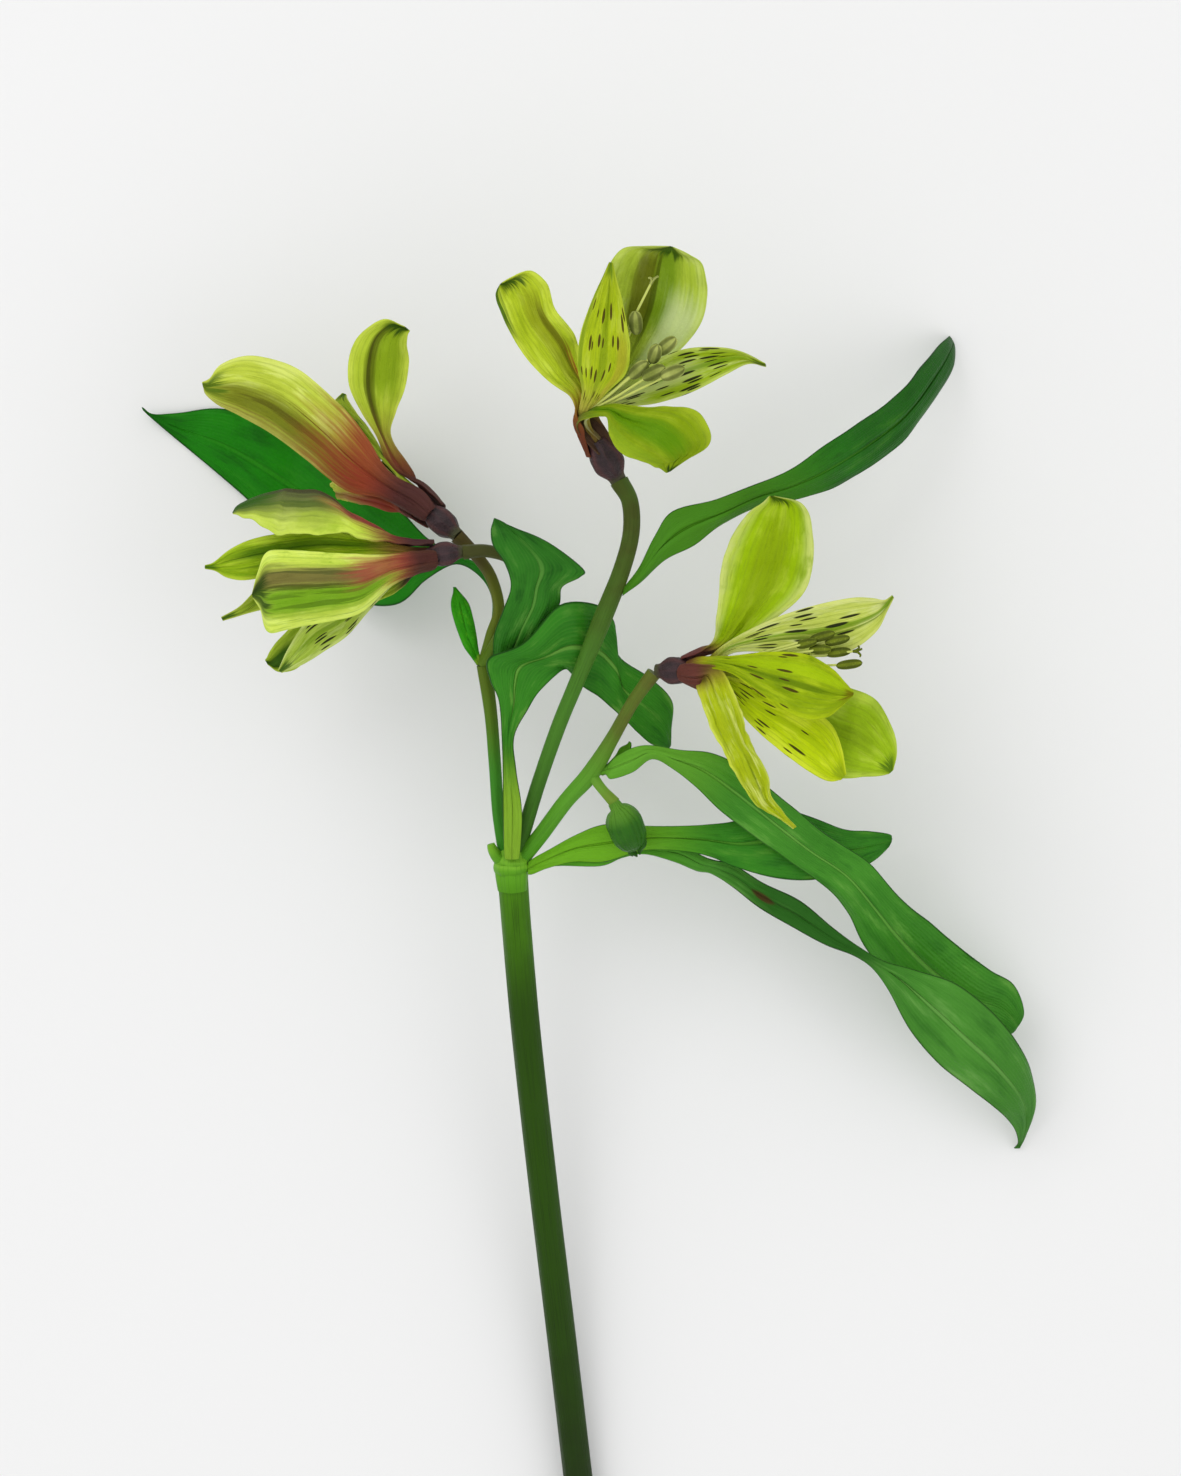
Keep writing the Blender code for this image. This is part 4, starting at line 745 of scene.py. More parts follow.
# %% Make one round part
def tube_points(line, radii, sides, section=lambda angle, share: 1.0):
    """Rings of points round a line, as rows of a grid."""
    runs = unit(np.gradient(line, axis=0))
    across = np.array((0.0, 0.0, 1.0)) if abs(runs[0][2]) < 0.9 else np.array((1.0, 0.0, 0.0))
    rings = []
    for i, (centre, run) in enumerate(zip(line, runs)):
        across = unit(across - run * across.dot(run))
        third = np.cross(run, across)
        share = i / (len(line) - 1)
        ring = []
        for k in range(sides):
            angle = 2 * pi * k / sides
            out = across * cos(angle) + third * sin(angle)
            ring.append(centre + out * radii[i] * section(angle, share))
        rings.append(ring)
    return np.array(rings), runs


def tube_faces(rings, sides, first=0):
    """Side faces and two end faces of a tube."""
    faces = []
    for i in range(rings - 1):
        for k in range(sides):
            a = first + i * sides + k
            b = first + i * sides + (k + 1) % sides
            faces.append((a, a + sides, b + sides, b))
    faces.append(tuple(first + k for k in range(sides)))
    faces.append(tuple(first + (rings - 1) * sides + k for k in reversed(range(sides))))
    return faces


def tube_maps(line, rings, sides):
    """The two UV maps of a tube: share along and round, and length in centimetres."""
    along = np.concatenate([[0.0], np.cumsum(np.linalg.norm(np.diff(line, axis=0), axis=1))])
    round_share = np.abs(2 * np.arange(sides) / sides - 1)
    share = [(along[i] / along[-1], round_share[k]) for i in range(rings) for k in range(sides)]
    length = [(along[i] / 10, round_share[k]) for i in range(rings) for k in range(sides)]
    return share, length


class Tubes:
    """Several tubes gathered into one mesh."""

    def __init__(self):
        self.points, self.faces, self.share, self.length = [], [], [], []

    def add(self, line, radii, sides, section=lambda angle, share: 1.0):
        """Add one tube along a line."""
        rings, _ = tube_points(line, radii, sides, section)
        self.faces += tube_faces(len(line), sides, len(self.points))
        share, length = tube_maps(line, len(line), sides)
        self.points += rings.reshape(-1, 3).tolist()
        self.share += share
        self.length += length

    def piece(self, name, finish):
        """Make the gathered tubes into one piece."""
        return finish_mesh(name, self.points, self.faces, self.share, self.length, finish)


def tube_line(points, samples):
    """A smooth line and its radii through points written as x, y, z and radius."""
    line = smooth_points([seen(p[:3]) for p in points], samples)
    return line, smooth_values([p[3] for p in points], samples, True)


# %% [markdown]
# ## The stem
#
# The florist's stem is one grown thing: a long bare stem, a swollen node, three rays, two pedicels
# and the stalk of the side bud. Each tube below follows the solid's own centre line, point by
# point with its radius. Faint ridges run along it, as on any stem whose fibres show through.

# %% Centre lines of the stem and its branches
STEM_RADIUS = 2.9
MAIN_STEM = (
    (0.0, 0.6, 30.0, STEM_RADIUS + 0.1),
    (1.0, -12.8, 25.5, STEM_RADIUS),
    (3.0, -34.8, 19.0, STEM_RADIUS),
    (6.6, -66.8, 12.0, STEM_RADIUS),
    (10.0, -94.8, 7.2, STEM_RADIUS),
    (13.2, -122.0, 4.2, STEM_RADIUS),
    (17.2, -156.0, STEM_RADIUS, STEM_RADIUS),
)
RAY_LEFT = (
    (-0.8, 0.8, 30.0, 1.7),
    (-2.6, 9.2, 31.0, 1.2),
    (-3.4, 20.2, 33.0, 1.25),
    (-4.2, 30.2, 35.5, 1.3),
    (-5.6, 40.2, 38.0, 1.5),
)
RAY_TOP = (
    (0.4, 0.4, 30.0, 1.7),
    (2.6, 7.6, 31.6, 1.45),
    (5.4, 16.8, 34.5, 1.45),
    (9.4, 28.2, 39.5, 1.5),
    (13.2, 37.4, 44.0, 1.55),
    (18.0, 49.2, 48.5, 1.9),
    (21.8, 58.8, 51.0, 1.75),
    (23.8, 66.4, 52.0, 1.7),
    (23.6, 72.8, 52.0, 1.7),
    (21.4, 77.0, 52.0, 1.9),
)
RAY_RIGHT = (
    (0.8, 0.2, 30.0, 1.7),
    (5.6, 6.0, 32.0, 1.6),
    (10.8, 13.0, 36.0, 1.6),
    (15.8, 18.6, 39.5, 1.8),
    (20.0, 25.4, 43.0, 1.4),
    (24.2, 32.8, 45.5, 1.3),
    (28.4, 38.6, 47.0, 1.5),
)
PEDICEL_UPPER_LEFT = (
    (-5.6, 40.0, 37.8, 1.4),
    (-4.2, 46.0, 38.2, 1.15),
    (-2.6, 51.4, 39.2, 1.15),
    (-4.2, 57.8, 40.8, 1.2),
    (-7.4, 62.4, 41.6, 1.25),
    (-11.0, 66.0, 42.0, 1.6),
)
PEDICEL_LOWER_LEFT = (
    (-5.6, 40.0, 37.8, 1.3),
    (-2.8, 45.4, 40.2, 1.2),
    (0.4, 50.8, 43.0, 1.2),
    (1.8, 56.4, 45.6, 1.2),
    (0.0, 61.2, 47.2, 1.25),
    (-4.8, 63.0, 47.6, 1.3),
    (-9.8, 62.8, 47.6, 1.5),
)
BUD_STALK = (
    (15.8, 18.4, 39.5, 1.1),
    (18.0, 15.4, 40.6, 1.0),
    (20.6, 12.6, 41.0, 1.2),
)
print("centre line points:", len(MAIN_STEM) + len(RAY_TOP))

# %% Make the stem, the rays and the node
STEM_SIDES = 44
STEM_CUT_SLANT = 0.35
RAY_SIDES = 26
RAY_SLIMMING = 0.96  # leaves room for the ribs of a ray


def stem_section(angle, share):
    """Faint ridges where fibres show through the skin."""
    return 1.0 + 0.012 * sin(9 * angle) + 0.006 * sin(17 * angle + 5 * share)


def ray_section(angle, share):
    """The younger rays keep five soft ribs."""
    return 1.0 + 0.035 * cos(5 * angle) + 0.015 * sin(11 * angle)


main_line, main_radii = tube_line(MAIN_STEM, 150)
stem_rings, stem_runs = tube_points(main_line, main_radii, STEM_SIDES, stem_section)
cut_angle = 2 * pi * np.arange(STEM_SIDES) / STEM_SIDES
stem_rings[-1] += np.outer(np.sin(cut_angle) * main_radii[-1] * STEM_CUT_SLANT, stem_runs[-1])
stem_share, stem_length = tube_maps(main_line, len(main_line), STEM_SIDES)
main_stem = finish_mesh(
    "main_stem", stem_rings.reshape(-1, 3), tube_faces(len(main_line), STEM_SIDES), stem_share, stem_length,
    stem_finish("stem_skin", "457a06", "264800", "1c2e08", "142206", middle_at=0.2))
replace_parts(main_stem, "stem")

rays = (
    ("ray_left", RAY_LEFT, 60, ("35801a", "3c8420", "5a6e18", "1c4a10")),
    ("ray_top", RAY_TOP, 110, ("38641a", "4a7f26", "424a16", "1c3008")),
    ("ray_right", RAY_RIGHT, 80, ("4c9018", "5a9a28", "5e5c24", "2c5214")),
    ("pedicel_upper_left", PEDICEL_UPPER_LEFT, 60, ("56761c", "66721c", "46381c", "38461a")),
    ("pedicel_lower_left", PEDICEL_LOWER_LEFT, 60, ("56761c", "5c6c20", "3c3a1c", "38461a")),
    ("bud_stalk", BUD_STALK, 30, ("5f9a2c", "6a9a30", "6f8a2c", "4f7a24")),
)
for name, points, samples, colours in rays:
    line, radii = tube_line(points, samples)
    ray = Tubes()
    ray.add(line, [radius * RAY_SLIMMING for radius in radii], RAY_SIDES, ray_section)
    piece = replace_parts(ray.piece(name, stem_finish(name + "_skin", *colours)), "stem")

# %% [markdown]
# The rays spring from a swollen node. A short collar with a lighter rim runs round it, and a
# broken leaf base sticks out at its left. Small things like these tell the eye that the stem grew.

# %% Swell the node and add the collar and the broken leaf base
node_parts = (
    (((0.2, -4.6, 28.6), (0.0, -1.0, 29.6), (0.0, 1.6, 30.2), (0.2, 3.4, 31.0)),
     (2.95, 3.3, 3.35, 1.9), 24, 40, True,
     lambda angle, share: 1.0 + 0.03 * cos(6 * angle + 1) + 0.02 * sin(3 * angle)),
    (((0.1, -1.1, 29.7), (0.0, -0.2, 29.9), (0.0, 0.7, 30.1)),
     (3.35, 3.6, 3.4), 8, 40, False,
     lambda angle, share: 1.0 + 0.02 * sin(7 * angle)),
    (((-1.6, 0.8, 30.8), (-3.0, 2.0, 31.4), (-3.9, 3.3, 31.8), (-4.3, 4.4, 32.0)),
     (1.5, 1.2, 1.0, 0.75), 14, 18, True,
     lambda angle, share: 1.0 + 0.06 * sin(3 * angle + 4 * share)),
)
node_tubes = Tubes()
for points, radii, samples, sides, settle, section in node_parts:
    line = smooth_points([seen(p) for p in points], samples)
    node_tubes.add(line, smooth_values(radii, samples, settle), sides, section)
node_finish = stem_finish("node_skin", "4f8c10", "5a9a1a", "74ae2a", "35680a")
node_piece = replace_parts(node_tubes.piece("node_collar", node_finish), "stem")

# %% [markdown]
# The cut end is out of the picture but not out of the model. A florist's slanted cut shows a pale,
# watery pith with a darker ring of fibres just inside the skin.

# %% Finish the cut end
CUT_STEPS = (0.45, 0.8, 0.93)  # rings of the cut face, as shares of the radius
CUT_RISE = 0.05
cut_centre = stem_rings[-1].mean(axis=0)
cut_points = [cut_centre]
for step in CUT_STEPS:
    cut_points += [cut_centre + (corner - cut_centre) * step for corner in stem_rings[-1]]
cut_points = np.array(cut_points) + stem_runs[-1] * CUT_RISE
cut_share = [(0.0, 0.0)] + [(s, k / STEM_SIDES) for s in CUT_STEPS for k in range(STEM_SIDES)]
cut_faces = [(0, 1 + (k + 1) % STEM_SIDES, 1 + k) for k in range(STEM_SIDES)]
for ring in range(len(CUT_STEPS) - 1):
    for k in range(STEM_SIDES):
        a = 1 + ring * STEM_SIDES + k
        b = 1 + ring * STEM_SIDES + (k + 1) % STEM_SIDES
        cut_faces.append((a, b, b + STEM_SIDES, a + STEM_SIDES))
look = Finish("cut_pith", "d3dfa0")
fibre_dots = look.combed(lumps=9.0, lanes=40.0)
look.glaze("a8c46a", look.ramp(look.along, 0.5, 0.85), 0.8)
look.glaze("6f9440", look.ramp(fibre_dots, 0.55, 0.7), 0.5)
cut_finish = look.close(roughness=0.3, relief=fibre_dots, depth=0.15, subsurface=0.1, specular=0.5)
cut_face = finish_mesh("cut_face", cut_points, cut_faces, cut_share, cut_share, cut_finish)
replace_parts(cut_face, "stem")

# %% [markdown]
# ## Leaves and bracts
#
# Alstroemeria leaves twist at their base, so the face that grew as the underside looks up. Each
# station below is the left edge, the right edge and how far the middle bulges. A dozen stations
# are enough for a leaf that arches, droops or twists.

# %% Stations of the leaves
LEAF_UPPER_RIGHT = (
    ((23.2, 56.8, 51.2), (22.9, 54.6, 50.8), 0.0),
    ((25.6, 60.0, 51.8), (25.8, 56.8, 51.2), 0.4),
    ((28.6, 66.2, 52.0), (30.6, 61.2, 51.0), 0.8),
    ((32.2, 71.0, 52.0), (36.4, 64.2, 50.0), 1.2),
    ((40.8, 73.4, 51.0), (42.0, 68.4, 48.5), 1.0),
    ((48.0, 76.2, 48.0), (49.2, 71.8, 45.5), 0.8),
    ((55.4, 79.2, 44.0), (58.4, 73.8, 41.5), 1.0),
    ((64.2, 85.4, 37.0), (66.6, 76.8, 34.5), 1.2),
    ((75.8, 93.2, 25.0), (77.6, 84.6, 23.5), 1.2),
    ((81.6, 99.8, 15.5), (84.0, 92.6, 14.5), 1.0),
    ((85.6, 104.2, 7.5), (87.8, 99.2, 6.5), 0.5),
    ((87.2, 105.8, 2.4), (88.6, 103.0, 1.8), 0.2),
    ((87.4, 106.0, 0.3), (88.0, 105.2, 0.2), 0.0),
)
LEAF_BEHIND_LEFT = (
    ((-4.4, 42.8, 36.0), (-6.0, 42.2, 36.0), 0.0),
    ((-2.8, 47.6, 34.2), (-4.4, 47.6, 34.2), 0.0),
    ((-2.4, 53.2, 31.5), (-4.0, 53.2, 31.5), 0.0),
    ((-4.8, 59.2, 27.5), (-6.2, 57.6, 27.5), 0.0),
    ((-10.0, 62.0, 22.0), (-11.2, 60.4, 22.0), 0.0),
    ((-16.4, 65.2, 17.0), (-17.4, 57.2, 17.0), 0.4),
    ((-22.4, 71.2, 12.0), (-23.4, 52.2, 12.0), 0.8),
    ((-32.4, 79.2, 5.5), (-32.0, 53.8, 5.5), 0.8),
    ((-44.4, 87.2, 0.35), (-42.4, 63.6, 0.35), 0.0),
    ((-57.2, 91.4, 0.35), (-55.0, 75.2, 0.35), 0.0),
    ((-66.8, 90.6, 0.35), (-65.4, 84.0, 0.35), 0.0),
    ((-71.8, 90.4, 1.2), (-71.4, 89.0, 1.2), 0.0),
    ((-74.0, 91.8, 2.5), (-73.6, 91.0, 2.5), 0.0),
)
LEAF_UPRIGHT = (
    ((-1.4, 2.8, 33.1), (0.0, 2.8, 33.1), 0.0),
    ((-1.4, 15.2, 35.4), (-0.2, 15.2, 35.4), 0.0),
    ((-1.4, 26.2, 37.8), (-0.2, 26.2, 37.8), 0.0),
    ((-2.2, 33.2, 40.0), (0.4, 32.8, 40.0), 0.0),
    ((-3.6, 40.2, 43.0), (2.0, 39.6, 42.0), 0.3),
    ((-3.6, 46.2, 46.2), (6.0, 45.6, 45.0), 0.6),
    ((-1.6, 51.6, 48.6), (9.4, 52.0, 46.8), 0.8),
    ((-0.2, 56.2, 50.4), (10.0, 56.0, 49.0), 1.0),
    ((-1.6, 60.8, 51.8), (13.6, 57.8, 50.5), 1.0),
    ((-3.8, 64.2, 52.4), (14.2, 59.4, 51.5), 1.0),
    ((-4.2, 67.0, 52.4), (7.4, 64.6, 53.0), 0.6),
    ((-3.8, 68.8, 52.2), (0.6, 67.6, 53.0), 0.2),
    ((-3.6, 69.6, 52.0), (-2.6, 69.2, 52.3), 0.0),
)
LEAF_ARCHING = (
    ((-1.6, 2.6, 34.6), (1.6, 2.6, 34.6), 0.0),
    ((-1.8, 11.2, 36.2), (2.0, 10.8, 36.2), -0.3),
    ((-1.8, 19.2, 38.0), (0.8, 19.2, 38.0), -0.3),
    ((-2.0, 25.6, 39.8), (0.4, 25.8, 39.8), -0.3),
    ((-2.6, 32.8, 42.6), (3.2, 31.4, 42.2), -0.6),
    ((-4.4, 37.2, 45.2), (5.6, 35.0, 43.2), -0.6),
    ((-4.6, 41.6, 47.6), (8.4, 37.8, 43.4), -0.4),
    ((2.2, 44.4, 48.6), (11.0, 39.4, 42.0), 0.4),
    ((9.4, 52.2, 48.8), (13.8, 36.2, 40.0), 1.0),
    ((17.0, 52.2, 44.4), (17.2, 34.0, 38.5), 1.2),
    ((20.4, 48.8, 42.5), (20.2, 31.4, 38.0), 1.2),
    ((21.2, 42.2, 40.5), (22.8, 29.0, 37.0), 1.2),
    ((27.6, 37.6, 38.0), (25.0, 26.8, 36.0), 1.2),
    ((31.8, 33.2, 36.0), (27.8, 24.4, 35.0), 0.8),
    ((31.8, 27.6, 34.0), (30.4, 23.6, 33.8), 0.3),
    ((31.8, 24.2, 33.0), (31.2, 23.4, 33.0), 0.0),
)
LEAF_RIGHT_LONG = (
    ((19.2, 20.2, 41.2), (18.8, 18.2, 41.2), 0.0),
    ((20.8, 21.8, 42.2), (20.0, 17.4, 41.8), 0.3),
    ((24.0, 23.6, 43.2), (24.2, 18.8, 42.6), 0.5),
    ((27.6, 24.2, 43.6), (28.0, 21.4, 43.0), 0.4),
    ((33.6, 23.2, 43.0), (32.0, 19.6, 42.0), 0.5),
    ((40.0, 22.6, 41.5), (36.8, 15.8, 40.5), 0.8),
    ((46.6, 19.4, 40.0), (42.0, 10.8, 39.0), 1.0),
    ((55.6, 12.2, 37.5), (49.0, 5.6, 36.5), 1.0),
    ((63.4, 6.0, 34.5), (55.8, 0.8, 33.5), 1.0),
    ((71.2, 0.8, 31.0), (62.8, -4.2, 30.0), 1.0),
    ((77.6, -6.2, 27.0), (67.2, -9.4, 26.0), 1.0),
    ((83.4, -11.2, 23.0), (70.4, -15.8, 22.5), 1.0),
    ((89.0, -15.8, 19.0), (76.6, -23.8, 18.0), 1.0),
    ((95.6, -20.8, 15.0), (85.6, -30.8, 14.0), 0.8),
    ((100.4, -23.8, 12.0), (93.6, -32.8, 11.0), 0.6),
    ((102.4, -29.2, 10.0), (98.6, -33.6, 9.5), 0.3),
    ((100.9, -32.5, 9.0), (100.0, -33.5, 9.0), 0.0),
)
LEAF_RIGHT_STRAIGHT = (
    ((4.3, 1.6, 31.6), (4.3, -1.6, 31.6), 0.0),
    ((8.0, 3.6, 32.0), (7.2, -0.4, 31.6), 0.3),
    ((13.2, 6.4, 32.4), (12.4, 0.8, 32.2), 0.5),
    ((19.0, 8.4, 32.8), (18.6, 0.8, 32.6), 0.6),
    ((27.6, 8.0, 33.2), (27.2, 3.2, 33.0), 0.4),
    ((37.6, 8.2, 33.2), (37.6, 2.4, 33.0), 0.4),
    ((45.2, 9.2, 32.5), (45.2, -0.4, 32.5), 0.5),
    ((51.6, 12.2, 31.5), (52.6, -2.4, 31.5), 0.6),
    ((58.6, 10.2, 30.0), (60.0, -2.8, 30.0), 0.6),
    ((66.2, 7.4, 27.6), (67.2, -1.2, 27.6), 0.4),
    ((71.2, 7.0, 25.6), (72.0, 0.8, 25.6), 0.2),
    ((75.4, 6.4, 24.0), (75.0, 3.4, 24.0), 0.0),
    ((76.0, 5.6, 23.6), (75.8, 4.6, 23.6), 0.0),
)
LEAF_DROOPING = (
    ((4.3, 1.4, 30.2), (4.3, -1.2, 30.2), 0.0),
    ((9.6, 3.2, 30.2), (8.8, 0.0, 30.2), 0.2),
    ((17.6, 4.6, 30.4), (17.6, 0.0, 30.4), 0.3),
    ((22.6, 4.8, 30.6), (22.0, 1.6, 30.6), 0.3),
    ((27.6, 4.4, 30.8), (26.6, 2.4, 30.8), 0.3),
    ((33.6, 4.4, 30.8), (32.6, 0.8, 30.8), 0.3),
    ((38.2, 2.0, 30.4), (37.0, -1.0, 30.0), 0.2),
    ((40.4, 1.2, 30.6), (40.0, -1.6, 29.2), 0.0),
    ((44.4, 0.2, 29.8), (44.4, -4.4, 29.6), -0.4),
    ((50.2, -3.4, 29.6), (49.6, -8.4, 29.6), -0.6),
    ((57.6, -7.0, 29.8), (56.8, -12.6, 29.8), -0.6),
    ((64.2, -12.4, 30.0), (62.8, -15.8, 30.0), -0.3),
    ((69.2, -16.0, 30.3), (68.0, -17.8, 30.0), 0.0),
    ((74.4, -19.0, 30.5), (72.0, -20.4, 30.0), 0.2),
    ((80.6, -20.8, 30.0), (75.4, -25.0, 29.5), 0.6),
    ((88.0, -23.2, 28.5), (79.6, -32.8, 27.0), 1.2),
    ((94.6, -27.8, 25.5), (85.6, -39.8, 23.0), 1.5),
    ((100.0, -33.8, 20.5), (92.0, -44.8, 18.0), 1.4),
    ((103.8, -40.8, 14.5), (97.6, -49.2, 12.0), 1.0),
    ((104.6, -47.8, 7.5), (100.4, -52.4, 6.5), 0.5),
    ((102.8, -53.8, 2.4), (101.2, -55.2, 2.2), 0.1),
    ((101.6, -56.4, 0.8), (100.4, -56.4, 0.8), 0.0),
)
BRACT_LEFT = (
    ((-7.6, 41.0, 38.3), (-6.6, 42.8, 38.3), 0.0),
    ((-9.8, 44.2, 39.5), (-7.0, 45.6, 39.3), 0.3),
    ((-11.6, 49.2, 40.5), (-7.6, 48.8, 40.3), 0.5),
    ((-12.2, 52.4, 41.0), (-8.6, 52.4, 41.0), 0.3),
    ((-11.8, 54.8, 41.3), (-10.6, 55.0, 41.3), 0.1),
    ((-11.8, 55.8, 41.4), (-11.2, 55.8, 41.4), 0.0),
)
BRACT_RIGHT = (
    ((19.0, 20.4, 39.8), (19.1, 18.5, 39.8), 0.0),
    ((20.6, 22.0, 40.2), (21.6, 19.8, 40.2), 0.2),
    ((21.6, 23.6, 40.8), (23.2, 21.8, 40.8), 0.2),
    ((23.0, 24.4, 41.2), (23.8, 23.8, 41.2), 0.0),
    ((23.4, 25.0, 41.3), (23.9, 24.6, 41.3), 0.0),
)
print("stations of the long right leaf:", len(LEAF_RIGHT_LONG))


# %% Finish and make the leaves
def upwards(place):
    """Leaves show their upper face to the sky."""
    return np.array((0.0, 0.0, 1.0))


def greens(green, deep, rib, edge, under, **more):
    """The colours of one leaf: body, a darker tone that also paints the shade in fold lines, a midrib colour
    that also paints highlights on them, edge and underside.
    """
    return dict(green=green, deep=deep, rib=rib, edge=edge, under=under, **more)


leaves = (
    ("leaf_upper_right", LEAF_UPPER_RIGHT, "leaf_dark_green",
     greens("1f6a0c", "124c04", "4a8a1c", "0a3004", "3f7428", base="4c8818", base_reach=0.55, far_from=0.4),
     dict(ripple=0.35, waves=4.0, groove=0.35)),
    ("leaf_behind_left", LEAF_BEHIND_LEFT, "leaf_dark_green",
     greens("187c04", "0c5a02", "2f8a14", "063802", "3c7c28"),
     dict(ripple=0.2, waves=5.0, groove=0.2)),
    ("leaf_upright", LEAF_UPRIGHT, "leaf_green",
     greens("2e741a", "124e08", "6aa044", "164010", "4c8038"),
     dict(ripple=0.35, waves=4.0)),
    ("leaf_arching", LEAF_ARCHING, "leaf_green",
     greens("34801a", "1f6410", "80b44c", "123e08", "568c3c", base_reach=0.3),
     dict(ripple=0.25, waves=6.0)),
    ("leaf_right_long", LEAF_RIGHT_LONG, "leaf_green",
     greens("428a24", "286c14", "78b44c", "143f08", "62964c", base="68a82c", base_reach=0.3),
     dict(ripple=0.4, waves=5.5, pleat_depth=0.04)),
    ("leaf_right_straight", LEAF_RIGHT_STRAIGHT, "leaf_green",
     greens("34801a", "1f6410", "64a034", "0f3c06", "568c3c", base="74b41a", base_reach=0.55),
     dict(ripple=0.3, waves=5.0)),
    ("leaf_drooping", LEAF_DROOPING, "leaf_green",
     greens("46882a", "2c6a18", "78ae56", "123606", "62964e", base="58a81c", base_reach=0.3,
            twist=(0.3, 0.55), blemish=(0.36, 0.55)),
     dict(ripple=0.4, waves=6.0, pleat_depth=0.04)),
    ("bract_left", BRACT_LEFT, "bract_green",
     greens("349a08", "227c04", "64b420", "144c02", "529c24"),
     dict(ripple=0.1, groove=0.2)),
    ("bract_right", BRACT_RIGHT, "bract_green",
     greens("5a9c1a", "428414", "86c034", "2a6008", "64a02c"),
     dict(ripple=0.1, groove=0.1)),
)
for name, stations, slot, colours, form in leaves:
    placed = [(seen(left), seen(right), bulge) for left, right, bulge in stations]
    piece = blade(name + "_blade", name, placed, upwards, leaf_finish(name + "_skin", **colours),
                  middle_thickness=0.6, edge_thickness=0.25, phase=len(name) * 0.7, **form)

# %% [markdown]
# ## The side bud
#
# One bud stays closed on its short stalk. It is a ribbed, pointed drop whose sepals overlap at the
# end, dark green with faint paler veins and a lighter foot.

# %% Centre line of the bud
SIDE_BUD = (
    (20.9, 11.8, 41.0, 1.2),
    (21.5, 10.8, 40.6, 2.6),
    (22.4, 8.8, 39.6, 3.6),
    (23.4, 6.2, 38.6, 3.5),
    (24.2, 4.2, 38.0, 2.5),
    (24.6, 3.2, 37.8, 1.2),
)
print("bud length in mm:", round((seen(SIDE_BUD[0][:3]) - seen(SIDE_BUD[-1][:3])).length, 1))

# %% Make the side bud
BUD_SCALES = 3
FIRST_SCALE = 0.4  # radians round the bud
bud_line, bud_radii = tube_line(SIDE_BUD, 40)
bud_line[0] += np.array((-0.6, 0.9, 0.0))
bud_end = bud_line[40]
bud = Tubes()
bud.add(bud_line, bud_radii, 36, lambda angle, share: 1.0 + 0.08 * abs(cos(3 * angle)) - 0.04)
for turn in range(BUD_SCALES):
    angle = 2 * pi * turn / BUD_SCALES + FIRST_SCALE
    push = np.array((cos(angle) * 0.8, sin(angle) * 0.5, 0.3 * sin(angle + 1)))
    scale_line = smooth_points([bud_line[22] + push * 3.4, bud_line[32] + push * 2.6, bud_end + push * 1.3,
                                bud_end + push * 0.6 + np.array((0.5, -1.0, -0.3))], 16)
    bud.add(scale_line, smooth_values([0.35, 0.8, 0.6, 0.15], 16, True), 12)
look = Finish("bud_skin", "286404")
skin = look.effect(mottle, Patch=260.0)
line = look.effect(veins, Count=9.0, Sharpness=2.0)
look.glaze("1c5200", skin["Patches"], 0.6)
look.glaze("5a9420", line["Lines"], 0.12)
look.glaze("6aa42c", look.near(look.along, 0.1, 0.45), 0.6)
bud_finish = look.close(roughness=0.4, relief=line["Relief"], depth=0.3, subsurface=0.05)
bud_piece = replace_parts(bud.piece("side_bud_scales", bud_finish), "side_bud")
report(bud_piece, "side_bud")

# %% [markdown]
# ## Tepals
#
# An alstroemeria has no separate sepals and petals: three broad outer tepals and three narrow inner
# ones make the bloom. Each starts as a narrow claw on top of the ovary. The claw is two more
# stations before the blade's own, turned by the tepal's angle round the bloom's axis, so the blade
# maker needs no special case for it.

# %% Make one tepal
CLEARANCE = 0.3
CLAW_SPREAD = 1.3
CLAWS = {"outer": (2.1, 4.0, 0.8), "inner": (1.2, 2.2, 0.3)}  # ring, width and bulge in mm
TEPAL_FORMS = {
    "outer": dict(ripple=0.5, waves=4.5, groove=0.35, pleats=7, pleat_depth=0.06, crumple=0.4),
    "inner": dict(ripple=0.3, waves=3.5, groove=0.25, pleats=5, pleat_depth=0.05, crumple=0.25),
}


